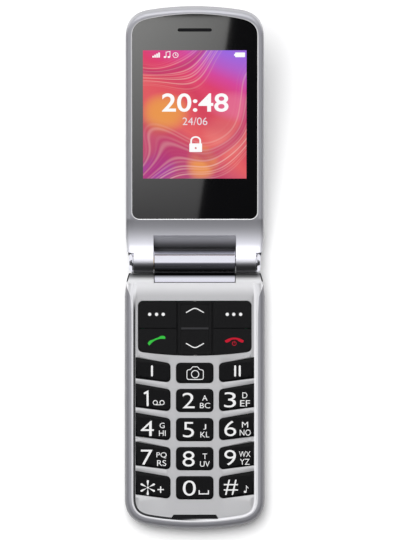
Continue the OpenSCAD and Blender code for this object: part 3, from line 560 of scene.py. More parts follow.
def key_plastic(name, rgb):
    """Black key caps: lacquered, with fine dust and hairlines that show only in the gloss."""
    f = Finish(name)
    dust = f.noise(2.2, 5, 0.7)
    hair = f.noise(1.3, 2, 0.4, stretch=(0.5, 7, 1))
    f.set(Base_Color=f.mix(dust, shade(rgb, 0.7), shade(rgb, 1.4)), Specular_IOR_Level=0.14,
          Roughness=0.24 + (dust - 0.5) * 0.10 + (hair - 0.5) * 0.06)
    return f.bump(hair + dust * 0.5, 0.10, 0.004).owner


def matt_plastic(name, rgb, rough=0.55, grain=5.0):
    """Moulded plastic with an eroded texture and slight unevenness."""
    f = Finish(name)
    texture = f.noise(grain, 3, 0.6)
    cloud = f.noise(0.2, 3)
    f.set(Base_Color=f.mix(cloud, shade(rgb, 0.88), shade(rgb, 1.12)),
          Roughness=rough + (texture - 0.5) * 0.2)
    return f.bump(texture, 0.5, 0.012).owner


def bare_metal(name, rgb, rough=0.3):
    """Stamped or turned metal with rolling lines and stains."""
    f = Finish(name)
    lines = f.noise(2.5, 3, 0.6, stretch=(8, 0.3, 1))
    stains = f.noise(0.8, 4, 0.6)
    f.set(Base_Color=f.mix(stains, shade(rgb, 0.82), shade(rgb, 1.08)), Metallic=1.0,
          Roughness=rough + (lines - 0.5) * 0.15 + (stains - 0.5) * 0.12)
    return f.bump(lines, 0.2, 0.006).owner


def soft_plastic(name, rgb):
    """Silicone or film: dull, slightly cloudy."""
    f = Finish(name)
    cloud = f.noise(0.9, 4)
    f.set(Base_Color=f.mix(cloud, shade(rgb, 0.85), shade(rgb, 1.1)),
          Roughness=0.55 + (cloud - 0.5) * 0.25)
    return f.bump(cloud, 0.3, 0.02).owner


def circuit(name):
    """Solder mask with tracks and plated dots."""
    f = Finish(name)
    x, y, _ = f.axes()
    wander = f.noise(0.3, 1)
    tracks = ((x * 2.2 + wander * 9).sine() * (y * 1.7 - wander * 7).sine()).ramp(0.25, 0.45)
    dots = f.node("ShaderNodeTexVoronoi", None, {"Vector": f.where(), "Scale": 0.55}).ramp(0.17, 0.12)
    mask = f.mix(tracks, (0.008, 0.070, 0.030), (0.016, 0.130, 0.052))
    f.set(Base_Color=f.mix(dots, mask, (0.70, 0.50, 0.20)), Metallic=dots, Roughness=0.42 - dots * 0.12)
    return f.bump(tracks + dots, 0.4, 0.03).owner


def print_ink(name, rgb):
    """Ink of the marks: even, slightly raised, with a fine screen-printed edge of tone."""
    f = Finish(name)
    tooth = f.noise(14, 2)
    f.set(Base_Color=f.mix(tooth, shade(rgb, 0.94), shade(rgb, 1.03)),
          Roughness=0.45 + (tooth - 0.5) * 0.2, Specular_IOR_Level=0.1)
    return f.bump(tooth, 0.15, 0.004).owner


def mesh_metal(name, rgb):
    """Woven or punched grille: rows of small dark holes."""
    f = Finish(name)
    x, y, _ = f.axes()
    pitch = 0.32
    turn = 2 * math.pi / pitch
    holes = ((x * turn).sine() * (y * turn).sine()).ramp(0.05, 0.35)
    f.set(Base_Color=f.mix(holes, rgb[:3], (0.002, 0.002, 0.002)),
          Metallic=0.8 - holes * 0.8, Roughness=0.4 + holes * 0.3)
    return f.bump(1 - holes, 0.6, 0.05).owner


def lit(name, rgb, power):
    """Bright marks of the lit screen."""
    f = Finish(name)
    grid = f.noise(6, 1)
    glow = f.mix(grid, shade(rgb, 0.97), rgb[:3])
    f.set(Base_Color=(0, 0, 0), Roughness=0.3, Specular_IOR_Level=0.0,
          Emission_Color=glow, Emission_Strength=power)
    return f.owner


# ---------------------------------------------------------------- keypad half

def cad_box(node):
    """Lowest and highest corner of a CAD node, in millimetres."""
    return [corner * 1000 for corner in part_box(node)]


def trimmed(outline, start):
    """The part of an outline beyond start, and the way in from each of its points."""
    side = [(p[1], p[0]) for p in outline if p[0] > 20 and p[1] < 30]
    x = float(np.interp(start, [l for l, _ in side], [x for _, x in side]))
    outline = [(x, start)] + [p for p in outline if p[1] > start + 0.02] + [(-x, start)]
    moved = inset(outline, 1, closed=False)
    lean = [(b[0] - a[0], b[1] - a[1]) for a, b in zip(outline, moved)]
    lean[0], lean[-1] = (-1.0, 0.0), (1.0, 0.0)
    return outline, lean


def carve(piece, place, loops, near, far):
    """Cuts wells of the given outlines into a piece, from one depth to another."""
    cutter = Skin(place)
    for loop in loops:
        cutter.strips([[(x, l, near) for x, l in loop], [(x, l, far) for x, l in loop]])
        for end in (near, far):
            cutter.sheet([loop], [], flat(end))
    solid = bpy.data.objects.new("cutter", bpy.data.meshes.new("cutter"))
    solid.data.from_pydata(cutter.points, [], cutter.faces)
    work = bmesh.new()
    work.from_mesh(solid.data)
    bmesh.ops.remove_doubles(work, verts=work.verts, dist=1e-7)
    bmesh.ops.recalc_face_normals(work, faces=work.faces)
    work.to_mesh(solid.data)
    work.free()
    bpy.context.scene.collection.objects.link(solid)
    cut = piece.modifiers.new("Opening", "BOOLEAN")
    cut.operation, cut.object, cut.solver = "DIFFERENCE", solid, "EXACT"
    bpy.context.view_layer.update()
    made = bpy.data.meshes.new_from_object(piece.evaluated_get(bpy.context.evaluated_depsgraph_get()))
    piece.modifiers.clear()
    piece.data = made
    bpy.data.objects.remove(solid)


class PHONE_OT_rear_shell(bpy.types.Operator):
    """Rear shell under the keypad half, with the battery cover's seat, speaker slits and screw wells"""
    bl_idname = "phone.rear_shell"
    bl_label = "Rear shell"

    def execute(self, context):
        outline = base_outline()
        lo, hi = cad_box("battery_cover")
        near, far = HINGE_Y - hi.y, HINGE_Y - lo.y
        seat = rounded_box(lo.x - 0.1, hi.x + 0.1, near - 0.1, far + 0.1, 2.5)
        wells = [rounded_box(x - 1.7, x + 1.7, 9.8, 13.2, 1.69, 8) for x in (-21.4, 21.4)]
        slits = [rounded_box(x - 0.45, x + 0.45, 13, 19, 0.44, 4) for x in np.arange(3.5, 15.6, 2)]
        skin, rings = Skin(on_table), []
        for i in range(9):
            a = math.pi / 16 * i
            z = mm("foot_height") * (1 - math.sin(a))
            rings.append([(x, l, z) for x, l in inset(outline, mm("foot_width") * (1 - math.cos(a)))])
        skin.strips(rings)
        # seen from below, so the holes' edges turn up into the shell
        bottom = inset(outline, mm("foot_width"))
        upside = Skin(lambda x, l, z: on_table(x, l, -z))
        rims = [upside.edge(hole, flat(0), 0.15, 1.1 if i == 0 else 1.8, outer=False)
                for i, hole in enumerate([seat, *wells, *slits])]
        upside.sheet([bottom], rims, flat(0))
        for hole, deep in [(seat, 1.25)] + [(w, 1.95) for w in wells] + [(s, 1.95) for s in slits]:
            upside.sheet([hole], [], flat(-deep))
        skin.join(upside)
        skin.build("rear_shell", matt_plastic("Rear shell plastic", tint("shell")), "base", "dark_plastic",
                   ["base_rear_shell"])
        cover = Skin(lambda x, l, z: on_table(x, l, 1.1 - z))
        grip = [rounded_box(-7, 7, near + l, near + l + 0.7, 0.34, 4) for l in (3, 4.5, 6, 7.5, 9)]
        cover.plate(rounded_box(lo.x, hi.x, near, far, 2.5), flat(1.1), 0.3, 0.7, grip, 0.12, 0.3)
        for slot in grip:
            cover.sheet([slot], [], flat(0.7))
        cover.build("battery_lid", matt_plastic("Battery cover plastic", shade(tint("shell"), 1.25), 0.5), "base",
                    "dark_plastic", ["battery_cover"])
        return {"FINISHED"}


JOINT = 8.1  # where the deck's rolled end meets its plate


def frame_turn(l):
    """Angle round the rail at which the dark side frame ends: it tapers off at the shoulder."""
    w = mm("rail_width")
    reach = 0.02 + (w - 0.02) * smooth((l - JOINT) / 6.7) ** 0.8
    return math.acos(max(0.0, 1 - min(1.0, reach / w)))


class PHONE_OT_side_frame(bpy.types.Operator):
    """Dark silver frame round the keypad half, between the rear shell and the deck"""
    bl_idname = "phone.side_frame"
    bl_label = "Side frame"

    def execute(self, context):
        outline, lean = trimmed(base_outline(), JOINT)
        skin, w, h, top = Skin(on_table), mm("rail_width"), mm("rail_height"), mm("base_height")

        def ring(turn):
            """Points of the rail at one part of its rounding, stopped at the frame's edge."""
            out = []
            for (x, l), q in zip(outline, lean):
                a = frame_turn(l) * turn
                d = w * (1 - math.cos(a))
                out.append((x + q[0] * d, l + q[1] * d, top - h * (1 - math.sin(a))))
            return out

        low = mm("foot_height")
        rings = [[(x, l, low) for x, l in inset(outline, d, False)] for d in (1.2, 0.12)]
        rings.append([(x, l, low + 0.12) for x, l in outline])
        rings += [ring(i / 9) for i in range(10)]
        edge = rings[-1]
        rings.append([(x, l, z - 0.8) for x, l, z in edge])
        skin.strips(rings, closed=False)

        def sweep(f):
            """Painted shade at the outer line and a painted highlight towards the bead, by height."""
            z = f.axes()[2]
            return z.ramp(top - 2.9, top - 1.3) * 0.75 + z.ramp(top - 0.9, top) * 0.9 + 0.35, 0.35

        paint = silver_paint("Dark silver paint", tint("rail"), 0.55, 0.34, sweep=sweep)
        piece = skin.build("side_frame", paint, "base", "gunmetal", ["base_side_frame"])
        # the charging socket's opening in the free end
        lo, hi = cad_box("charging_socket")
        hole = rounded_box(lo.x - 0.25, hi.x + 0.25, lo.z - 0.25, hi.z + 0.25, 0.7)
        free = HINGE_Y - mm("reach")
        carve(piece, lambda x, z, y: Vector((x, y, z)) / 1000, [hole], free - 2, free + 1.6)
        return {"FINISHED"}


FIRST_ROW, KEYS_END, ROW_GAP = 48.9, 11.6, 2.56  # first dialling row, end of the last, gap between rows
NAV_HEAD, NAV_FOOT, NAV_BOW, NAV_CORNER = 14.85, 34.2, 1.6, 1.8


def deck_half():
    """Half the width of the deck's plate, inside the groove."""
    return mm("base_width") / 2 - mm("rail_width") - mm("bead_width") - mm("groove_width")


def key_pitch():
    """From one dialling row to the next."""
    return (mm("reach") - KEYS_END - FIRST_ROW + ROW_GAP) / 4


def key_loop(row, col):
    """Outline of a deck key: rows count from the function row, columns from left to right."""
    top = FIRST_ROW - 10.1 if row == 0 else FIRST_ROW + (row - 1) * key_pitch()
    foot = top + (7.6 if row == 0 else key_pitch() - ROW_GAP)
    hw, side_in, radius = 7.1, 9.5, 1.5
    if col == 0:
        return round_corners([(-hw, top), (hw, top), (hw, foot), (-hw, foot)], radius)
    # a side key slants up and out to the groove, where its corners stay square
    top, foot, rise, fall = top + 0.2, foot - 0.2, 2.3, 1.7
    outer = [(deck_half() - 0.02, top - rise), (deck_half() - 0.02, foot - fall)]
    loop = round_corners([(side_in, top), *outer, (side_in, foot)], radius)
    n = len(loop) // 4
    loop = loop[:n] + outer + loop[3 * n:]
    return loop if col > 0 else mirror(loop)


def nav_half():
    """Half the width of the navigation keys together."""
    return mm("base_width") / 2 - 5.2


def nav_foot(x):
    """Where the navigation keys end, on a bow."""
    r = (nav_half() ** 2 + NAV_BOW ** 2) / (2 * NAV_BOW)
    return NAV_FOOT + NAV_BOW - r + math.sqrt(r * r - x * x)


def nav_loop(grow):
    """Outline of the navigation keys together, bowed at its lower edge and grown by a clearance."""
    hw, r = nav_half(), NAV_CORNER
    lower = [(hw * i / 12, nav_foot(hw * i / 12)) for i in range(12, -13, -1)]
    lower = [p for p in lower if abs(p[0]) < hw - r]
    right = curve((hw, NAV_FOOT - r), (hw, NAV_FOOT), lower[0], 8)
    left = curve(lower[-1], (-hw, NAV_FOOT), (-hw, NAV_FOOT - r), 8)
    loop = arc(hw - r, NAV_HEAD + r, r, r, 270, 360, 8) + right + lower[1:-1] + left
    loop += arc(-hw + r, NAV_HEAD + r, r, r, 180, 270, 8)
    return inset(loop, -grow)


def fall_away(x):
    """Drop of the deck and of the side keys towards the groove."""
    run = 1.7
    return 0.42 * smooth((abs(x) - (deck_half() - run)) / run) ** 1.3


class PHONE_OT_deck(bpy.types.Operator):
    """Silver deck: rolled shoulder, bead, groove and the plate with its openings for the keys"""
    bl_idname = "phone.deck"
    bl_label = "Deck"

    def execute(self, context):
        top, w, rail_h = mm("base_height"), mm("rail_width"), mm("rail_height")
        depth, low = mm("groove_depth"), mm("foot_height")
        run, r, end = mm("shoulder_run"), shoulder_radius(), shoulder_end()
        skin = Skin(on_table)
        outline, lean = trimmed(base_outline(), JOINT)

        def ring(distance, height):
            return [(x + u * distance(l), l + v * distance(l), height(l)) for (x, l), (u, v) in zip(outline, lean)]

        def fade(l):
            """0 on the shoulder, 1 where bead and groove have their full depth."""
            return smooth((l - 12.0) / 5.0)

        def height(x, l):
            return top - fall_away(x) * fade(l)

        # silver on the rail's rounding where the dark frame tapers off, then the bead
        rings = []
        for i in range(6):
            def turn(l, i=i):
                start = frame_turn(l)
                return start + (math.pi / 2 - start) * i / 6

            rings.append(ring(lambda l, t=turn: w * (1 - math.cos(t(l))),
                              lambda l, t=turn: top - rail_h * (1 - math.sin(t(l)))))
        rings.append(ring(lambda l: w, lambda l: top - 0.10 * fade(l)))
        b, g = mm("bead_width"), mm("groove_width")
        for u, lift in ((0.2, 0.0), (0.5, 0.03), (0.8, 0.0)):
            rings.append(ring(lambda l, u=u: w + b * u, lambda l, v=lift: top - (0.03 - v) * fade(l)))
        rings.append(ring(lambda l: w + b * 0.95, lambda l: top - 0.10 * fade(l)))
        rings.append(ring(lambda l: w + b, lambda l: top - depth * fade(l)))
        bead = len(rings)
        rings.append(ring(lambda l: w + b + g, lambda l: top - depth * fade(l)))
        edge = [(x + u * (w + b + g), l + v * (w + b + g)) for (x, l), (u, v) in zip(outline, lean)]
        rings.append([(x, l, height(x, l)) for x, l in edge])
        skin.strips(rings[bead:], closed=False)
        groove = Skin(on_table)
        groove.strips(rings[bead - 2:bead + 1], closed=False)
        gap = Finish("Groove")
        x, y, _ = gap.axes()
        # dark on the side away from the light, bright on the other and round the shoulder
        deep = (1 - x.ramp(-6, 6)) * (HINGE_Y - y).ramp(10, 19)
        dirt = gap.noise(1.5, 4)
        gap.set(Base_Color=gap.mix(deep, shade(tint("bead"), 0.9), (0.022, 0.022, 0.024)),
                Roughness=0.45 + (dirt - 0.5) * 0.2)
        groove.build("deck_groove", gap.owner, "base", "satin_silver")
        trim = Skin(on_table)
        trim.strips(rings[:bead - 1], closed=False)

        # the shoulder's two sides, rolled down at the hinge
        half = [p for p in base_outline() if p[0] > 20]

        def half_width(l):
            return float(np.interp(l, [p[1] for p in half], [p[0] for p in half]))

        tongue, slot = mm("barrel_width") / 2 + 0.12, 7.75
        stations = [(l, top, 0.0, 1.0) for l in (JOINT, slot, run)]
        stations += [(run - r * math.sin(a), top - r + r * math.cos(a), math.sin(a), math.cos(a))
                     for a in np.linspace(0, math.pi / 2, 15)[1:]]
        stations.append((end, low, 1.0, 0.0))
        for side in (1, -1):
            rings = []
            for l, z, back, up in stations:
                hw, k = half_width(l), 0.18 + 0.82 * up ** 0.7
                across = [(tongue, 1.6), (tongue, 0.12), (tongue + 0.12, 0)]
                across += [(tongue + (hw - w - tongue) * i / 5, 0) for i in range(1, 6)]
                across += [(hw - w * math.cos(a), rail_h * (1 - math.sin(a)) * k)
                           for a in np.linspace(math.pi / 2, 0, 9)[1:]]
                row = [(side * x, l + back * drop, max(z - up * drop, low)) for x, drop in across]
                row.append((side * hw, max(l + back * rail_h * k, l), low))
                rings.append(row)
            skin.strips(rings, closed=False)

        # the plate
        rim = [(-tongue, slot), (tongue, slot), (tongue, JOINT)] + edge + [(-tongue, JOINT)]
        holes = [inset(key_loop(row, col), -mm("key_gap")) for row in range(5) for col in (-1, 0, 1)]
        deck_hw = deck_half()
        holes = [[(float(np.clip(x, -deck_hw, deck_hw)), l) for x, l in hole] for hole in holes]
        holes.append(nav_loop(mm("key_gap")))
        rims = [skin.edge(h, height, 0.1, 0.9, outer=False) for h in holes]
        # more points beside the groove, where the plate falls away
        rows = [(s * (deck_hw - d), l) for s in (-1, 1) for d in (0.2, 0.45, 0.75, 1.1, 1.5, 1.8)
                for l in np.arange(13, mm("reach") - 8, 1.3)]
        keep = np.array(rows)
        free = inside(keep, rim)
        for hole in rims:
            free &= ~inside(keep, inset(hole, -0.05))
        extra = [tuple(map(float, p)) for p in keep[free]]
        skin.sheet([rim], [*rims, mic_notch(0)], height, extra=extra)

        def sweep(f):
            """Painted highlight over the shoulder and painted shade where it dives to the hinge."""
            along = HINGE_Y - f.axes()[1]
            return (along.ramp(13.4, 8.5) * 0.46 + 0.92) * (along.ramp(4.0, 7.9) * 0.9 + 0.1), 0.5

        paint = silver_paint("Deck silver paint", tint("deck"), 0.5, 0.36, 0.07, sweep)
        skin.build("deck", paint, "base", "satin_silver", ["base_faceplate"], sharp=40)
        bead_paint = silver_paint("Bead silver", tint("bead"), 0.45, 0.34)
        trim.build("deck_bead", bead_paint, "base", "satin_silver", sharp=50)
        return {"FINISHED"}


def mic_notch(d):
    """The black grille piece at the middle of the free end."""
    reach = mm("reach")
    loop = [(-8.2, reach - 5.6), (8.2, reach - 5.6), (9.3, reach - 3.95), (-9.3, reach - 3.95)]
    return inset(round_corners(loop, 0.25, 3), d)


class PHONE_OT_mic_grille(bpy.types.Operator):
    """Black grille at the free end, with the microphone's hole"""
    bl_idname = "phone.mic_grille"
    bl_label = "Microphone grille"

    def execute(self, context):
        skin = Skin(on_table)
        hole = ring_at(0, mm("reach") - 4.75, 0.4)
        skin.plate(mic_notch(0.04), flat(mm("base_height") - 0.05), 0.1, 0.4, [hole], 0.08, 0.4)
        skin.sheet([hole], [], flat(mm("base_height") - 0.5))
        gloss = key_plastic("Grille gloss plastic", (0.006, 0.006, 0.007))
        skin.build("microphone_grille", gloss, "base", "black_gloss", ["mic_grille"])
        return {"FINISHED"}


# ---------------------------------------------------------------- keys and their marks

def stroke(line, width):
    """The outline of a line of even width with round ends."""
    n = 5  # steps round an end
    left, right = inset(line, width / 2, False), inset(line, -width / 2, False)
    loop = list(left)
    for a, b in ((left[-1], right[-1]), (right[0], left[0])):
        centre = ((a[0] + b[0]) / 2, (a[1] + b[1]) / 2)
        start = math.atan2(a[1] - centre[1], a[0] - centre[0])
        for i in range(1, n):
            t = start - math.pi * i / n
            loop.append((centre[0] + width / 2 * math.cos(t), centre[1] + width / 2 * math.sin(t)))
        if a is left[-1]:
            loop += list(reversed(right))
    return loop


def letters(text, x0, x1, l0, l1, bold):
    """Triangles of a text that fill the box, with l growing down the keypad."""
    data = bpy.data.curves.new("letters", "FONT")
    data.body, data.offset, data.resolution_u = text, bold, 6
    shape = bpy.data.objects.new("letters", data)
    bpy.context.scene.collection.objects.link(shape)
    bpy.context.view_layer.update()
    mesh = bpy.data.meshes.new_from_object(shape.evaluated_get(bpy.context.evaluated_depsgraph_get()))
    points = np.array([v.co[:2] for v in mesh.vertices])
    faces = [tuple(p.vertices) for p in mesh.polygons]
    bpy.data.objects.remove(shape)
    bpy.data.curves.remove(data)
    bpy.data.meshes.remove(mesh)
    lo, hi = points.min(0), points.max(0)
    u = (points - lo) / (hi - lo)
    return [(x0 + (x1 - x0) * a, l1 - (l1 - l0) * b) for a, b in u.tolist()], faces


class Marks:
    """Printed marks of one piece: loops and letters laid just above its surface."""

    def __init__(self, place, height):
        self.skin, self.height = Skin(place), height

    def at(self, x, l):
        return self.height(x, l) + mm("mark_height")

    def loops(self, *loops, holes=()):
        for loop in loops:
            self.skin.sheet([loop], list(holes), self.at)

    def line(self, points, width, closed=False):
        if closed:
            edges = inset(points, -width / 2), inset(points, width / 2)
            inner, outer = sorted(edges, key=lambda loop: abs(area(loop)))
            self.loops(outer, holes=[inner])
        else:
            self.loops(stroke(points, width))

    def text(self, text, x0, x1, l0, l1, bold=0.0):
        points, faces = letters(text, x0, x1, l0, l1, bold)
        rows = self.skin.add([(x, l, self.at(x, l)) for x, l in points])
        self.skin.faces += [tuple(rows[i] for i in f) for f in faces]

    def build(self, name, material, body, slot="key_black"):
        self.skin.build(name, material, body, slot)


def pixel_box(spot, left, top, right, foot):
    """A box in pixels of the photograph as x0 x1 l0 l1, with spot for the deck's plane or the window's."""
    (x0, l0), (x1, l1) = spot(left, top), spot(right, foot)
    return x0, x1, l0, l1


def voicemail(marks, x, l):
    """Two small loops joined by a bar, as on a message key."""
    for cx in (x - 1.3, x + 1.3):
        marks.line(ring_at(cx, l, 0.82), 0.3, closed=True)
    marks.line([(x - 1.3, l + 0.85), (x + 1.3, l + 0.85)], 0.28)


def note(marks, x, l):
    """A quaver."""
    marks.loops(arc(x - 0.45, l + 1.0, 0.55, 0.42, 0, 345, 23))
    marks.line([(x, l + 1.0), (x, l - 1.3), (x + 0.75, l - 0.4)], 0.24)


def camera_mark(marks):
    """A camera from the front, with its lens."""
    body = [deck_spot(*p) for p in ((186.9, 379.6), (186.9, 370.2), (190.6, 369.6), (192.4, 366.9), (197.6, 366.9),
                                    (199.6, 369.6), (203.3, 370.2), (203.3, 379.6))]
    marks.line(round_corners(body, 0.7, 5), 0.30, closed=True)
    marks.line(ring_at(*deck_spot(195.1, 374.3), 1.42, 35), 0.30, closed=True)


# digit, its box in the photograph, small letters and their boxes
DIAL = {
    "key_1": (),
    "key_2": ("2", (182.4, 393, 194.6, 408.4),
              (("A", (202.2, 395.4, 207.4, 400.8)), ("BC", (199.9, 403, 210.2, 408.4)))),
    "key_3": ("3", (224.2, 392.4, 236, 407.6),
              (("D", (242.4, 392.6, 247.4, 398.4)), ("EF", (240.2, 400.4, 250, 406.6)))),
    "key_4": ("4", (140.6, 421, 153.8, 436.2),
              (("G", (159.6, 423, 164.6, 428.4)), ("HI", (158.9, 430.6, 165.6, 436.2)))),
    "key_5": ("5", (183, 422.2, 194, 437.6),
              (("J", (203, 424.4, 206.2, 429.8)), ("KL", (200.4, 432, 209.4, 437.6)))),
    "key_6": ("6", (224.4, 421, 236.2, 436.4),
              (("M", (242, 422, 248.2, 427.8)), ("NO", (239.8, 429.8, 250.8, 435.8)))),
    "key_7": ("7", (140.8, 450, 152.6, 465.2),
              (("PQ", (156.4, 452.6, 166.6, 458.6)), ("RS", (157, 460.4, 166.2, 466.2)))),
    "key_8": ("8", (182.6, 451.4, 194.6, 466.8),
              (("T", (202.6, 453.8, 207.2, 459.2)), ("UV", (200, 461.4, 209.8, 467)))),
    "key_9": ("9", (224.4, 450.2, 236, 465.6),
              (("WX", (239, 451.6, 250.6, 457.2)), ("YZ", (240, 459.2, 249.6, 465)))),
    "key_star": ("*", (140.4, 480.4, 155, 495.4), (("+", (157.4, 486.6, 163.8, 493.2)),)),
    "key_0": ("0", (182.8, 480.8, 195.8, 496), ()),
    "key_hash": ("#", (223.8, 480, 238, 495.2), ()),
}


class PHONE_OT_dial_keys(bpy.types.Operator):
    """Twelve dialling keys with their digits and letters, and the three function keys above them"""
    bl_idname = "phone.dial_keys"
    bl_label = "Dialling keys"

    def execute(self, context):
        plastic = key_plastic("Key plastic", tint("key"))
        ink = print_ink("White key ink", tint("mark"))
        rise = mm("base_height") + mm("key_rise")

        def height(x, l):
            return rise - 0.9 * fall_away(x) - 0.02 * smooth(abs(x) / 30)

        names = ["key_memory_1", "key_camera", "key_memory_2", *DIAL]
        for i, name in enumerate(names):
            row, col = divmod(i, 3)
            skin = Skin(on_table)
            # the side columns need finer steps, as they fall away
            wall, step = (1.1, 1.1) if col == 1 else (0.4, 0.6)
            skin.plate(key_loop(row, col - 1), height, mm("key_edge"), wall, step=step)
            skin.build(name + "_cap", plastic, name, "key_black", [name])
            marks = Marks(on_table, height)
            if name == "key_1":
                marks.line([deck_spot(*p) for p in ((144.6, 393.4), (147.4, 392.0), (147.6, 405.4))], 0.78)
                voicemail(marks, *deck_spot(158.6, 402.8))
            elif name in DIAL:
                digit, box, small = DIAL[name]
                marks.text(digit, *pixel_box(deck_spot, *box), bold=-0.006)
                for text, place in small:
                    marks.text(text, *pixel_box(deck_spot, *place))
            if name == "key_hash":
                note(marks, *deck_spot(246.4, 489.5))
            if name == "key_0":
                space = ((199.2, 491), (199.2, 494.2), (208.4, 494.2), (208.4, 491))
                marks.line([deck_spot(*p) for p in space], 0.42)
            if name == "key_camera":
                camera_mark(marks)
            if name == "key_memory_1":
                marks.line([deck_spot(151.9, 366.4), deck_spot(151.9, 375.6)], 0.74)
            if name == "key_memory_2":
                for px in (235.2, 239.8):
                    marks.line([deck_spot(px, 366.4), deck_spot(px, 375.8)], 0.74)
            marks.build(name + "_mark", ink, name)
        return {"FINISHED"}


def handset(marks, points, thin, thick):
    """A handset seen from the side: a bowed grip that swells at both ends."""
    line = curve(*[deck_spot(*p) for p in points], n=22)
    left, right = [], []
    for i, (a, b) in enumerate(zip(inset(line, 1, False), line)):
        u = i / (len(line) - 1)
        ends = (smooth((u - 0.62) / 0.2) * smooth((1.03 - u) / 0.1)
                + smooth((0.38 - u) / 0.2) * smooth((u + 0.03) / 0.1))
        swell = thin + (thick - thin) * ends
        nx, nl = a[0] - b[0], a[1] - b[1]
        left.append((b[0] + nx * thin * 0.5, b[1] + nl * thin * 0.5))
        right.append((b[0] - nx * (swell - thin * 0.5), b[1] - nl * (swell - thin * 0.5)))
    loop = left + right[::-1]
    marks.loops(loop if area(loop) > 0 else loop[::-1])


class PHONE_OT_navigation_keys(bpy.types.Operator):
    """Soft keys, call and end keys, and the rocker in its raised frame"""
    bl_idname = "phone.navigation_keys"
    bl_label = "Navigation keys"

    def execute(self, context):
        top = mm("base_height") + mm("key_rise") - 0.1
        plastic = key_plastic("Navigation key plastic", (0.0050, 0.0050, 0.0054))
        white, green, red = (print_ink(name, tint(key)) for name, key in
                             (("White navigation ink", "mark"), ("Green call ink", "call"), ("Red end ink", "end")))
        rocker_hw, gap, split = 6.55, 0.45, 25.4  # split: where the soft keys meet call and end
        hw, head, r = nav_half(), NAV_HEAD, NAV_CORNER
        x0 = rocker_hw + gap
        bottom = [(x, nav_foot(x)) for x in np.linspace(hw - r, x0, 9).tolist()]
        soft = (arc(x0 + 0.5, head + 0.5, 0.5, 0.5, 180, 270, 4) + arc(hw - r, head + r, r, r, 270, 360, 8)
                + [(hw, split - gap / 4), (x0, split - gap / 4)])
        call = ([(x0, split + gap / 4), (hw, split + gap / 4)]
                + curve((hw, NAV_FOOT - r), (hw, NAV_FOOT), bottom[0], 8) + bottom[1:])
        for name, loop in (("key_soft_right", soft), ("key_soft_left", mirror(soft)),
                           ("key_end", call), ("key_call", mirror(call))):
            skin = Skin(on_table)
            skin.plate(loop, lambda x, l: top - 0.3 * fall_away(x), 0.16, 1.1)
            skin.build(name + "_cap", plastic, name, "key_black", [name])
        # the rocker: a raised rounded frame round two shallow fields with a bar between them
        rocker = [(-rocker_hw, head + 0.1), (rocker_hw, head + 0.1)]
        rocker += [(x, nav_foot(x) - 0.1) for x in
                   (rocker_hw, *np.linspace(rocker_hw - 0.8, -rocker_hw + 0.8, 9).tolist(), -rocker_hw)]
        skin = Skin(on_table)
        fields = [rounded_box(-5.35, 5.35, head + 1.2, split - 0.55, 0.8),
                  rounded_box(-5.35, 5.35, split + 0.55, nav_foot(6) - 1.1, 0.8)]
        low = top - 0.16
        skin.plate(rocker, flat(top), 0.16, 1.1, fields, 0.14, 0.05)
        for field in fields:
            skin.sheet([field], [], flat(low))
        skin.build("rocker_cap", plastic, "nav_rocker", "key_black", ["nav_rocker"])
        bar = Skin(on_table)
        bar.plate(rounded_box(-5.3, 5.3, split - 0.42, split + 0.42, 0.2), flat(top + 0.03), 0.09, 0.1)
        pale = key_plastic("Rocker bar plastic", (0.026, 0.026, 0.028))
        bar.build("rocker_bar", pale, "nav_rocker", "key_black")
        marks = Marks(on_table, flat(low))
        for ends, tip in ((312.5, 307.6), (343.6, 348.5)):
            a, b, c = (np.array(deck_spot(*p)) for p in ((186.3, ends), (194.9, tip), (203.6, ends)))
            bend = curve(b + 0.35 * (a - b), b, b + 0.35 * (c - b), 10)
            marks.line([tuple(a), *bend, tuple(c)], 0.38)
        marks.build("rocker_mark", white, "nav_rocker")
        for name, dots in (("key_soft_left", (149.6, 156.5, 163.2)), ("key_soft_right", (227.3, 233.8, 240.7))):
            marks = Marks(on_table, flat(top))
            for px in dots:
                marks.loops(ring_at(*deck_spot(px, 314.4), 0.64))
            marks.build(name + "_mark", white, name)
        for name, ink, points, thin, thick in (
                ("key_call", green, ((148.8, 345.0), (154.6, 337.0), (165.2, 338.2)), 0.62, 1.12),
                ("key_end", red, ((243.6, 341.6), (234.3, 335.6), (225.2, 341.6)), 0.72, 1.15)):
            marks = Marks(on_table, flat(top))
            handset(marks, points, thin, thick)
            marks.build(name + "_mark", ink, name)
        marks = Marks(on_table, flat(top))
        x, l = deck_spot(234.3, 343.6)
        marks.line(arc(x, l, 0.75, 0.75, -60, 240, 18), 0.22)
        marks.line([(x, l - 1.0), (x, l - 0.1)], 0.22)
        marks.build("key_end_power_mark", red, "key_end")
        return {"FINISHED"}


# ---------------------------------------------------------------- hinge

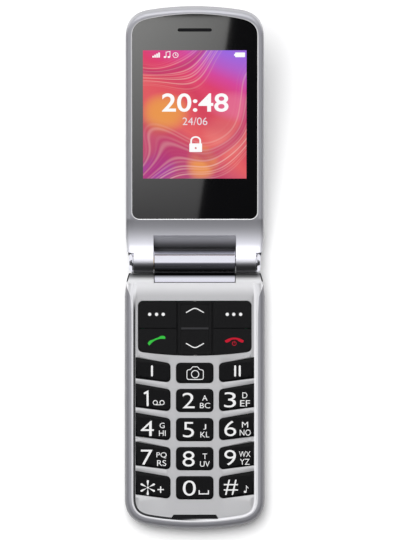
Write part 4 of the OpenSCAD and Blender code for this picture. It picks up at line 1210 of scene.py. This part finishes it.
class PHONE_OT_hinge(bpy.types.Operator):
    """Chrome barrel cover on the keypad half and the faceted end caps on the lid"""
    bl_idname = "phone.hinge"
    bl_label = "Hinge"

    def execute(self, context):
        r, hw = mm("barrel_radius"), mm("barrel_width") / 2
        drop = mm("base_height") - AXIS_Z
        # a section in (distance, height above the axis): round the barrel, below the tongue and back over it
        loop = [(-r * math.sin(a), r * math.cos(a)) for a in np.linspace(-1.30, 1.5 * math.pi - 0.5, 60)]
        loop += [(4.0, 4.3 - AXIS_Z), (7.6, 4.3 - AXIS_Z)]
        loop += [(l, drop - d) for l, d in ((7.6, 0.1), (7.55, 0.02), (7.45, 0.0), (6.3, 0.07), (5.05, 0.14),
                                            (4.82, 0.15), (4.68, 0.10))]
        inwards = math.copysign(1, area(loop))
        skin = Skin(lambda x, l, h: on_table(x, l, AXIS_Z + h))
        rings = []
        for x, d in ((-hw, 0.35), (-hw + 0.1, 0.12), (-hw + 0.35, 0.0),
                     (hw - 0.35, 0.0), (hw - 0.1, 0.12), (hw, 0.35)):
            rings.append([(x, l, h) for l, h in inset(loop, d * inwards)])
        skin.strips(rings)
        for ring in (rings[0], rings[-1]):
            across = Skin(lambda l, h, x: on_table(x, l, AXIS_Z + h))
            across.sheet([[(l, h) for _, l, h in ring]], [], flat(ring[0][0]))
            skin.join(across)

        def sweep(f):
            """Painted shade in the valley between the barrel and its tongue."""
            along = HINGE_Y - f.axes()[1]
            return 1 - along.ramp(1.8, 3.6) * 0.92 + along.ramp(4.7, 6.3) * 0.92

        bright = chrome("Barrel chrome", tint("barrel"), 0.09, sweep)
        skin.build("barrel_cover", bright, "base", "chrome", ["hinge_barrel_cover"], sharp=30)
        # each end cap is turned, then ground to twelve facets round a flat face
        caps = Skin(in_lid)
        root, end = 23.65, cad_box("hinge_caps")[1].x
        profile = [(root, 3.75), (root + 0.05, 3.95), (root + 0.5, 3.98), (end - 0.25, 3.15), (end, 2.85),
                   (end, 1.9), (end - 0.12, 1.75), (end - 0.12, 0.01)]
        turns = [2 * math.pi * i / 48 for i in range(48)]
        for side in (1, -1):
            rings = []
            for k, (x, radius) in enumerate(profile):
                half = math.pi / (12 if 2 < k < 6 else 48)
                reach = [radius * math.cos(half) / math.cos(a % (2 * half) - half) for a in turns]
                rings.append([(side * x, d * math.cos(a), d * math.sin(a)) for a, d in zip(turns, reach)])
            caps.strips(rings)
        bright = chrome("End cap chrome", (0.72, 0.72, 0.78), 0.12)
        caps.build("end_caps", bright, "lid", "chrome", ["hinge_caps"], sharp=14)
        return {"FINISHED"}


# ---------------------------------------------------------------- lid

LID_EDGE, SCOOP = 4.2, 10.65  # where the rim and the hollow for the barrel start, from the axis
SEAM = -5.2  # height of the seam between the two shells
KNUCKLE_IN, KNUCKLE_OUT = 15.95, 23.6  # the knuckles' flat sides
HEEL = math.radians(234.5)  # how far the knuckle's round goes on
ROLL_END = -15.94  # where the unrolled surface ends, below the knuckle


def surface(x, u, out=0.0):
    """The lid's inner surface unrolled: u runs from the free end down the chin and round the knuckle."""
    r, k, start = chin_radius(), mm("knuckle_radius"), mm("shoulder_run")
    if u >= start:
        return in_lid(x, u, -RIM_DROP + out)
    swept = (start - u) / r
    limit = math.asin(start / (r + k))
    if swept <= limit:
        return in_lid(x, start - (r - out) * math.sin(swept), r - RIM_DROP - (r - out) * math.cos(swept))
    a = math.pi / 2 - limit + (start - r * limit - u) / k
    if a <= HEEL:
        return in_lid(x, (k + out) * math.cos(a), (k + out) * math.sin(a))
    # straight on to the seam
    t = (a - HEEL) * k
    return in_lid(x, k * math.cos(HEEL) + 0.814 * t, k * math.sin(HEEL) - 0.581 * t)


def unrolled(s):
    """The place along the unrolled surface of a point of the chin at distance s from the axis."""
    r, start = chin_radius(), mm("shoulder_run")
    return s if s >= start else start - r * math.asin((start - s) / r)


def chin_height(s):
    """Height of the lid's inner surface at distance s from the axis."""
    r, start = chin_radius(), mm("shoulder_run")
    return -RIM_DROP if s >= start else r - RIM_DROP - math.sqrt(r * r - (start - s) ** 2)


def dip(x, u):
    """How far the chin's slow sweep lies below the rim."""
    start, foot = mm("shoulder_run"), mm("window_foot")
    run = min(max(u - start, 0), foot - start)
    deep = 0.6 * (run / (foot - start)) ** 2
    return deep * smooth((mm("lid_width") / 2 - 1.2 - abs(x)) / 2.2) * (1 - smooth((u - foot) / 3.3))


class PHONE_OT_lid(bpy.types.Operator):
    """Inner shell of the lid: rim, chin with its scoop for the barrel, and the two knuckles"""
    bl_idname = "phone.lid"
    bl_label = "Lid inner shell"

    def execute(self, context):
        def sweep(f):
            """Painted light and shade, also through the metal share: lighter and less metallic from the window down
            the chin, metallic round the knuckles, with painted shade on the knuckles, under them and at the sides,
            and a painted highlight on the rim's crest.
            """
            x, y, z = f.axes()
            away = y - HINGE_Y
            crest = ((z - AXIS_Z) * math.cos(TILT) - away * math.sin(TILT)).ramp(-2.8, -1.6)
            edge = (abs(x) + away.ramp(9.5, 3.0) * 0.9).ramp(25.3, 26.5)
            chin, knuckle, under = away.ramp(17.5, 4.5) ** 1.35, away.ramp(2.4, 0.2), away.ramp(1.0, -1.8)
            rim = away.ramp(16.2, 17.6)
            bright = (chin * 1.25 + 0.50 + rim * (crest * 0.52 + 0.06)) * (1 - knuckle * 0.35)
            bright = bright * (1 - under * 0.85) * (1 - edge * 0.45)
            return bright, 0.30 - chin * 0.22 + knuckle * 0.65 + rim * 0.18

        def hollow_sweep(f):
            """Painted highlight at the hollow's upper edge and painted shade below."""
            return (f.axes()[1] - HINGE_Y).ramp(4.8, 12.4) ** 1.8 * 2.3 + 0.03, 0.35

        def sunk(x, u):
            return -dip(x, u)

        paint = silver_paint("Lid silver paint", tint("lid"), 0.25, 0.30, 0.04, sweep)
        outline, lean = trimmed(lid_outline(), LID_EDGE)
        r = 1.4  # the rim's rounding
        skin, rings = Skin(in_lid), [[(x, l, SEAM) for x, l in outline]]
        inner = [(x + u * r, l + v * r) for (x, l), (u, v) in zip(outline, lean)]
        for i in range(9):
            a = math.pi / 2 * i / 8
            d = r * (1 - math.cos(a))
            rings.append([(x + u * d, l + v * d,
                           chin_height(max(l, q[1]) if l < 8 else l) - dip(*q) - r * (1 - math.sin(a)))
                          for (x, l), (u, v), q in zip(outline, lean, inner)])
        skin.strips(rings, closed=False)
        x, h = outline[0][0], chin_height(outline[0][1])
        for side in (1, -1):
            corners = ((KNUCKLE_OUT, SEAM), (x, SEAM), (x, h - r), (x - r, h), (KNUCKLE_OUT, h))
            skin.faces.append(tuple(skin.add([(side * a, LID_EDGE, b) for a, b in corners])))
        # the surface itself, drawn unrolled
        top = [(x, unrolled(l)) for x, l in inner]
        edge = top[0][1]
        rows = [ROLL_END + 0.35 * i for i in range(1, int((24 - ROLL_END) / 0.35))]

        def column(x, end):
            """Up one side of a knuckle to end, in the same steps as the surface."""
            return [(x, ROLL_END)] + [(x, u) for u in rows if u < end - 0.1] + [(x, end)]

        plan = (top + column(-KNUCKLE_OUT, edge)[::-1] + column(-KNUCKLE_IN, SCOOP)
                + column(KNUCKLE_IN, SCOOP)[::-1] + column(KNUCKLE_OUT, edge))
        flank = [(u, x) for x, u in top if x > 20 and u < 30]
        extra = []
        for u in rows:
            near = float(np.interp(u, *zip(*flank)))
            reach = (KNUCKLE_OUT if u < edge + 0.1 else near) - 0.4
            if u > SCOOP + 0.2:
                extra += [(x, u) for x in np.linspace(-14, 14, 11).tolist()]
            for x in np.linspace(KNUCKLE_IN + 0.35, reach, 12).tolist():
                extra += [(x, u), (-x, u)]
        opening = window_outline(-0.10)
        extra = [p for p, k in zip(extra, inside(np.array(extra), inset(opening, -0.62))) if not k]
        bead = Skin(surface)
        rim = bead.edge(opening, sunk, 0.40, 0.75, outer=False)
        bright = silver_paint("Window bead", (0.92, 0.92, 0.93), 0.15, 0.25, 0.02)
        bead.build("window_bead", bright, "lid", "lid_silver")
        face = Skin(surface)
        face.sheet([plan], [rim], sunk, extra=extra)
        skin.join(face)
        # the knuckles' flat sides, and the scoop between them
        for x, first, far in ((KNUCKLE_IN, SCOOP, SCOOP), (KNUCKLE_OUT, edge, LID_EDGE)):
            for side in (1, -1):
                turn = [surface(side * x, u) for _, u in reversed(column(x, first))]
                n = len(skin.points)
                skin.points += [*turn, in_lid(side * x, far, SEAM)]
                skin.faces.append(tuple(range(n, len(skin.points))))
        middle, height, radius = 4.7, 3.53, 7.83  # the scoop's round, from the axis
        first = math.asin((-1.56 - height) / radius)
        bowl = [(middle + radius * math.cos(a), height + radius * math.sin(a))
                for a in np.linspace(first, -math.pi / 2, 20)]
        bowl = [(SCOOP, -RIM_DROP - dip(0, SCOOP)), *bowl[1:], (middle, SEAM)]
        across = np.linspace(-KNUCKLE_IN, KNUCKLE_IN, 12).tolist()
        hollow = Skin(in_lid)
        hollow.strips([[(x, s, h) for x in across] for s, h in bowl], closed=False)
        dull = silver_paint("Scoop paint", tint("lid"), 0.6, 0.46, 0.02, hollow_sweep)
        hollow.build("lid_scoop", dull, "lid", "lid_silver")
        skin.build("lid_shell", paint, "lid", "lid_silver", ["lid_inner_shell"], sharp=40, weld=2e-6)
        return {"FINISHED"}


# colours of the picture from its foot to its head
PICTURE = [(0.0, (0.50, 0.07, 0.20)), (0.22, (0.83, 0.13, 0.14)), (0.45, (0.80, 0.09, 0.13)),
           (0.62, (0.78, 0.06, 0.17)), (0.74, (0.72, 0.07, 0.35)), (0.86, (0.50, 0.12, 0.62)),
           (1.0, (0.33, 0.16, 0.85))]


def picture(name):
    """The lit picture behind the window: folds of red, orange and violet with fine strands."""
    f = Finish(name)
    x, y, _ = f.axes()
    # u from -1 to 1 across the picture, v from 0 at its foot to 1 at its head
    u = x / (mm("screen_width") / 2)
    along = (y - HINGE_Y + GLASS * math.sin(TILT)) / math.cos(TILT)
    v = (along - mm("screen_foot")) / (mm("reach") - mm("screen_foot") - mm("screen_head"))
    slow, slower = f.noise(0.035, 0), f.noise(0.028, 0, distort=0.6)
    bend = (slow - 0.5) * 1.2
    p = u + bend * 0.5
    q = v + (slower - 0.5) * 0.5
    blend = q * 0.75 + p * 0.22
    tone = f.node("ShaderNodeValToRGB", {"stops": PICTURE}, {"Fac": blend + 0.03})
    # soft spots of colour: middle, half widths, strength and colour
    for cx, cy, rx, ry, strength, colour in (
            (-0.52, 0.44, 0.50, 0.20, 0.9, (0.90, 0.36, 0.08)), (0.10, 0.04, 0.42, 0.16, 0.95, (0.90, 0.33, 0.09)),
            (-0.95, 0.06, 0.55, 0.22, 1.0, (0.42, 0.06, 0.36)), (0.62, 0.28, 0.50, 0.24, 0.7, (0.93, 0.25, 0.22)),
            (0.70, 0.55, 0.55, 0.14, 0.6, (0.85, 0.22, 0.38))):
        a, b = (p - cx) / rx, (q - cy) / ry
        tone = f.mix((a * a + b * b).ramp(1.0, 0.0) * strength, tone, colour)
    # folds: where two slow waves cross, one side lies in shade
    wave = (p * 2.1 + q * 4.4 + (slow - 0.5) * 5).sine()
    fold = wave.ramp(0.05, 0.55) * wave.ramp(0.98, 0.5)
    tone = f.mix(fold * 0.35, tone, (0.55, 0.02, 0.10))
    # locks of fine strands, each with a dark side
    lock = q * 3.1 - p * 0.9 + (p * 2.6 + q * 2.2).sine() * 0.55 + (q * 5.2 - p * 1.4 + 1).sine() * 0.22
    strand = ((lock * 26).sine() * 0.5 + 0.5) * ((lock * 61 + p * 3).sine() * 0.5 + 0.5)
    tone = f.mix(strand * (lock * 2.3 + 0.6).sine().ramp(-0.5, 0.9) * 0.55, tone, (1.0, 0.62, 0.56))
    tone = f.mix((lock * 2.3).sine().ramp(0.86, 1.0) * 0.55, tone, (0.50, 0.03, 0.16))
    f.set(Base_Color=(0.002, 0.002, 0.002), Roughness=0.05, Specular_IOR_Level=0.5,
          Emission_Color=tone, Emission_Strength=0.92)
    return f.owner


class PHONE_OT_window(bpy.types.Operator):
    """Window with its black print, the lit picture behind it and the earpiece slot"""
    bl_idname = "phone.window"
    bl_label = "Window and screen"

    def execute(self, context):
        face = flat(GLASS)
        gloss = Finish("Black window")
        haze, dust = gloss.noise(0.08, 3), gloss.noise(3, 5, 0.75)
        gloss.set(Base_Color=gloss.mix(haze, shade(tint("glass"), 0.8), shade(tint("glass"), 1.2)),
                  Roughness=0.03 + dust.ramp(0.62, 0.8) * 0.10, Specular_IOR_Level=0.5, Coat_Weight=0.0)
        lines = window_outline()
        foot, head, hw = mm("screen_foot"), mm("reach") - mm("screen_head"), mm("screen_width") / 2
        lcd = [(-hw, foot), (hw, foot), (hw, head), (-hw, head)]
        slot = rounded_box(-6.5, 6.5, 93.9, 95.1, 0.59, 8)
        glass = Skin(in_lid)
        outer = glass.edge(lines, face, 0.12, 0.6)
        hole = glass.edge(slot, face, 0.08, 0.3, outer=False)
        glass.sheet([outer], [hole, lcd], face)
        glass.build("window", gloss.owner, "lid", "window_glass", ["lid_window"], sharp=8)
        screen = Skin(in_lid)
        screen.sheet([lcd], [], face)
        screen.build("picture", picture("Lit picture"), "lid", "screen").visible_glossy = False
        white = lit("Lit white marks", (1.0, 1.0, 1.0), 1.0)
        marks = Marks(in_lid, face)
        marks.text("20:48", *pixel_box(lid_spot, 162, 93.6, 228.4, 112), bold=0.014)
        marks.build("clock_mark", white, "lid", "screen")
        marks = Marks(in_lid, face)
        marks.text("24/06", *pixel_box(lid_spot, 182.6, 117.6, 207.4, 125.2))
        marks.build("date_mark", lit("Lit soft marks", (0.90, 0.80, 0.84), 0.9), "lid", "screen")
        marks = Marks(in_lid, face)
        # a padlock
        x, l = lid_spot(195.7, 152)
        marks.loops(rounded_box(x - 2.45, x + 2.45, l, l + 3.5, 0.25), holes=[ring_at(x, l + 1.6, 0.38)])
        marks.line([(x - 1.75, l + 3.4), (x - 1.75, l + 4.3), *arc(x, l + 4.6, 1.75, 1.55, 180, 0, 14),
                    (x + 1.75, l + 4.3), (x + 1.75, l + 3.4)], 0.62)
        # signal bars
        for i, px in enumerate((153.2, 155.2, 157.2, 159.2)):
            x, l = lid_spot(px, 58)
            marks.loops(rounded_box(x - 0.3, x + 0.3, l, l + 0.7 + 0.45 * i, 0.05, 2))
        # two joined quavers
        x, l = lid_spot(165, 57.5)
        for dx in (0, 1.5):
            marks.loops(arc(x + dx, l, 0.5, 0.4, 0, 330, 11))
        marks.line([(x + 0.45, l), (x + 0.45, l + 2), (x + 1.95, l + 2.3), (x + 1.95, l)], 0.24)
        # a clock face
        x, l = lid_spot(175.6, 55.6)
        marks.line(ring_at(x, l, 1.0), 0.22, closed=True)
        marks.line([(x, l + 0.6), (x, l), (x + 0.5, l)], 0.2)
        # a battery
        x, l = lid_spot(240, 55.3)
        marks.loops(rounded_box(x - 1.9, x + 1.9, l - 0.95, l + 0.95, 0.2),
                    rounded_box(x - 2.3, x - 1.9, l - 0.4, l + 0.4, 0.1))
        marks.build("status_mark", white, "lid", "screen")
        return {"FINISHED"}


class PHONE_OT_lid_back(bpy.types.Operator):
    """Outer shell of the lid with its rounded foot, camera seat and screw wells"""
    bl_idname = "phone.lid_back"
    bl_label = "Lid outer shell"

    def execute(self, context):
        outline, width, height, back = lid_outline(), 4.6, 5.2, -mm("lid_thickness") - RIM_DROP

        def heel(h):
            """Where the shell starts at a height: a slant up from the axis, then a round."""
            if h > -9.27:
                return 0.40 + 5.70 * (SEAM - h) / 4.07
            return 9 - math.sqrt(max(25 - (h - back - 5) ** 2, 0))

        rings = [[(x, max(l, 0.40), SEAM - 0.06) for x, l in inset(outline, 0.12)]]
        for i in range(13):
            a = math.pi / 2 * i / 12
            h = back + height * (1 - math.sin(a)) - (0.18 if i == 0 else 0)
            rings.append([(x, max(l, heel(h)), h) for x, l in inset(outline, width * (1 - math.cos(a)))])
        skin = Skin(in_lid)
        skin.strips(rings)
        # the flat back without double points, round the camera's seat
        plan = [(x, l) for x, l, _ in rings[-1]]
        plan = plan[:1] + [b for a, b in zip(plan, plan[1:]) if abs(b[0] - a[0]) + abs(b[1] - a[1]) > 1e-4]
        upside = Skin(lambda x, l, z: in_lid(x, l, -z))
        hole = upside.edge(ring_at(0, 25, 4.3, 47), flat(-back), 0.25, 0.9, outer=False)
        upside.sheet([plan], [hole], flat(-back))
        skin.join(upside)
        paint = silver_paint("Lid back paint", tint("rail"), 0.6, 0.30)
        shell = skin.build("lid_back", paint, "lid", "gunmetal", ["lid_outer_shell"], sharp=40)
        wells = [ring_at(x, l, 1.7, 31) for x in (-23.35, 23.35) for l in (22, 91.1)]
        carve(shell, in_lid, wells, back - 1, back + 1.8)
        return {"FINISHED"}


# ---------------------------------------------------------------- parts that keep the CAD shape

class PHONE_OT_inner_parts(bpy.types.Operator):
    """Finishes for the parts inside, which keep their CAD shape: boards, battery, hinge works and screws"""
    bl_idname = "phone.inner_parts"
    bl_label = "Inner parts"

    def execute(self, context):
        finishes = {
            bare_metal("Screw steel", (0.50, 0.50, 0.52)):
                "base_screws lid_screws hinge_shaft hinge_spring lid_magnet",
            bare_metal("Tinned plate", (0.62, 0.62, 0.60), 0.36):
                "rf_shield card_sockets charging_socket loudspeaker vibration_motor microphone",
            bare_metal("Brass", (0.70, 0.48, 0.20)): "battery_contacts hinge_pin",
            bare_metal("Dome foil", (0.66, 0.64, 0.58), 0.25): "keypad_dome_sheet",
            circuit("Circuit board"): "main_board lid_board",
            matt_plastic("Black plastic", (0.012, 0.012, 0.013), 0.5, 6):
                "hinge_cartridge hinge_bush antenna lid_sensor camera_module earpiece",
            soft_plastic("Flexible circuit film", (0.035, 0.022, 0.012)): "base_flex lid_flex",
            soft_plastic("Silicone", (0.012, 0.012, 0.013)): "keypad_mat",
            soft_plastic("White reflector plastic", (0.80, 0.80, 0.78)): "lcd_backlight",
            soft_plastic("Battery wrap", (0.06, 0.07, 0.09)): "battery",
            key_plastic("Camera window", (0.004, 0.004, 0.006)): "camera_window",
            mesh_metal("Earpiece mesh", (0.05, 0.05, 0.055)): "earpiece_mesh",
            lit("Screen panel", (0.3, 0.02, 0.03), 0.5): "lcd_panel",
        }
        for finish, names in finishes.items():
            for name in names.split():
                part = bpy.data.objects.get(name)
                if part:
                    part.data.materials.clear()
                    part.data.materials.append(finish)
        return {"FINISHED"}


# ---------------------------------------------------------------- stage

class PHONE_OT_stage(bpy.types.Operator):
    """Pale floor, soft studio light and the camera that looks straight down"""
    bl_idname = "phone.stage"
    bl_label = "Stage"

    def execute(self, context):
        scene = context.scene
        scene.view_settings.view_transform = "Standard"
        floor = Skin(lambda x, l, z: Vector((x, l, z)) / 1000)
        floor.sheet([[(-4000, -4000), (4000, -4000), (4000, 4000), (-4000, 4000)]], [], flat(-0.02))
        mesh = bpy.data.meshes.new("floor")
        mesh.from_pydata(floor.points, [], floor.faces)
        ground = bpy.data.objects.new("floor", mesh)
        scene.collection.objects.link(ground)
        paper = Finish("Pale floor")
        grain = paper.noise(0.5, 3)
        paper.set(Base_Color=paper.mix(grain, shade(tint("floor"), 0.995), tint("floor")[:3]), Roughness=0.9,
                  Specular_IOR_Level=0.0, Emission_Color=(1.0, 1.0, 1.0), Emission_Strength=0.12)
        mesh.materials.append(paper.owner)
        ground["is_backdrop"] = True
        world = bpy.data.worlds.new("Studio")
        scene.world = world
        sky = Finish("Studio", world)
        back = next(n for n in sky.tree.nodes if n.type == "BACKGROUND")
        way = sky.node("ShaderNodeTexCoord", out="Generated")
        x, y, z = sky.axes(way)
        # bands across the sky from behind the free end (-1) to behind the lid (+1)
        angle = sky.node("ShaderNodeMath", {"operation": "ARCTAN2"}, {0: y, 1: z}) / math.pi + 0.5
        bands = sky.node("ShaderNodeValToRGB", {"stops": SKY}, {"Fac": angle})
        seen = sky.node("ShaderNodeLightPath", out="Is Camera Ray")
        sky.feed(back.inputs["Color"], sky.mix(seen, bands, (1.0, 1.0, 1.0)))
        dim = abs(x).ramp(0.45, 0.92) * 0.78
        sky.feed(back.inputs["Strength"], 1 - dim * (1 - seen))
        for name, place, aim, size, power in LIGHTS:
            data = bpy.data.lights.new(name, "AREA")
            data.shape, data.size, data.size_y, data.energy = "RECTANGLE", size[0], size[1], power
            lamp = bpy.data.objects.new(name, data)
            lamp.location = place
            lamp.rotation_euler = (Vector(place) - Vector(aim)).to_track_quat("Z", "Y").to_euler()
            lamp.visible_glossy = False
            scene.collection.objects.link(lamp)
        # a soft box that only the window mirrors, with its slanted edge across the glass
        c, s = math.cos(TILT), math.sin(TILT)
        way, middle = Vector((0, -2 * s * c, 2 * c * c - 1)), in_lid(0, 59, GLASS)

        def mirrored(px, py, _):
            """The place 45 cm off that shows at a pixel of the photograph."""
            glass = in_lid(*lid_spot(px, py), GLASS)
            return glass + way * (0.45 - (glass - middle).dot(way))

        box = Skin(mirrored)
        box.sheet([[(110, 0), (232, 0), (229.5, 17), (224.6, 49.6), (203, 180), (197, 219.5), (194.7, 236),
                    (110, 236)]], [], flat(0))
        shape = bpy.data.meshes.new("soft_box")
        shape.from_pydata(box.points, [], box.faces)
        card = bpy.data.objects.new("soft_box", shape)
        scene.collection.objects.link(card)
        low, high = mirrored(195, 219, 0).y * 1000, mirrored(195, 14, 0).y * 1000
        glow = Finish("Soft box")
        gx, gy, _ = glow.axes()
        rise, side = (gy - low) / (high - low), ((gx + 24) / 38).clamp()
        tone = glow.mix(rise.clamp(), (1.0, 0.99, 1.0), (1.0, 1.0, 0.98))
        level = rise * (1 - side * 0.45) * 3.9 + 1.1
        glow.set(Base_Color=(0, 0, 0), Emission_Color=glow.scale(tone, level), Emission_Strength=1.0)
        shape.materials.append(glow.owner)
        for ray in ("camera", "diffuse", "transmission", "volume_scatter", "shadow"):
            setattr(card, "visible_" + ray, False)
        mirrors = bpy.data.collections.new("mirrors")
        mirrors.objects.link(bpy.data.objects["window"])
        card.light_linking.receiver_collection = mirrors
        card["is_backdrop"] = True
        lens = bpy.data.cameras.new("camera")
        lens.lens, lens.sensor_fit, lens.sensor_height, lens.sensor_width = 1200, "AUTO", 36, 36
        camera = bpy.data.objects.new("camera", lens)
        # straight above the photograph's middle, as far as shows one pixel of it per pixel
        lens.clip_end = 20
        distance = 20 + PHOTO_SIZE[1] * PIXEL * lens.lens / lens.sensor_height
        across, down = PHOTO_SIZE[0] / 2 - PHOTO_X, PHOTO_SIZE[1] / 2 - PHOTO_Y
        camera.location = Vector((across * PIXEL, HINGE_Y - down * PIXEL, distance)) / 1000
        scene.collection.objects.link(camera)
        scene.camera = camera
        return {"FINISHED"}


PHOTO_SIZE = (405, 540)
SKY = [(0.0, (0.01, 0.01, 0.01)), (0.14, (0.015, 0.015, 0.016)), (0.30, (0.05, 0.05, 0.055)),
       (0.46, (0.09, 0.09, 0.10)), (0.495, (0.55, 0.55, 0.57)), (0.53, (1.0, 1.0, 1.02)),
       (0.85, (1.0, 1.0, 1.0)), (1.0, (0.8, 0.8, 0.8))]
# name, place, aim, size and power
LIGHTS = [("key light", (-0.25, 0.35, 1.3), (0, 0, 0), (1.0, 1.0), 17.0)]


# ---------------------------------------------------------------- panel and registration

PIECES = (PHONE_OT_rear_shell, PHONE_OT_side_frame, PHONE_OT_deck, PHONE_OT_mic_grille, PHONE_OT_dial_keys,
          PHONE_OT_navigation_keys, PHONE_OT_hinge, PHONE_OT_lid, PHONE_OT_window, PHONE_OT_lid_back,
          PHONE_OT_inner_parts, PHONE_OT_stage)


class PHONE_PT_panel(bpy.types.Panel):
    """Lists the phone's pieces and its sizes and colours"""
    bl_idname = "PHONE_PT_panel"
    bl_label = "Phone"
    bl_space_type = "VIEW_3D"
    bl_region_type = "UI"
    bl_category = "Phone"

    def draw(self, context):
        layout = self.layout
        for piece in PIECES:
            layout.operator(piece.bl_idname)
        for group in (context.scene.phone_sizes, context.scene.phone_colours):
            box = layout.box()
            for name in group.__annotations__:
                box.prop(group, name)


CLASSES = (PhoneSizes, PhoneColours, *PIECES, PHONE_PT_panel)


def register():
    for cls in CLASSES:
        bpy.utils.register_class(cls)
    bpy.types.Scene.phone_sizes = bpy.props.PointerProperty(type=PhoneSizes)
    bpy.types.Scene.phone_colours = bpy.props.PointerProperty(type=PhoneColours)


def unregister():
    del bpy.types.Scene.phone_sizes, bpy.types.Scene.phone_colours
    for cls in reversed(CLASSES):
        bpy.utils.unregister_class(cls)


def main():
    register()
    for piece in PIECES:
        group, name = piece.bl_idname.split(".")
        getattr(getattr(bpy.ops, group), name)()
    sizes = {"cad": CAD_BOX, "visual": [list(corner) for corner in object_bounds()]}
    sizes = {key: [[float(v) for v in corner] for corner in box] for key, box in sizes.items()}


if __name__ == "__main__":
    main()
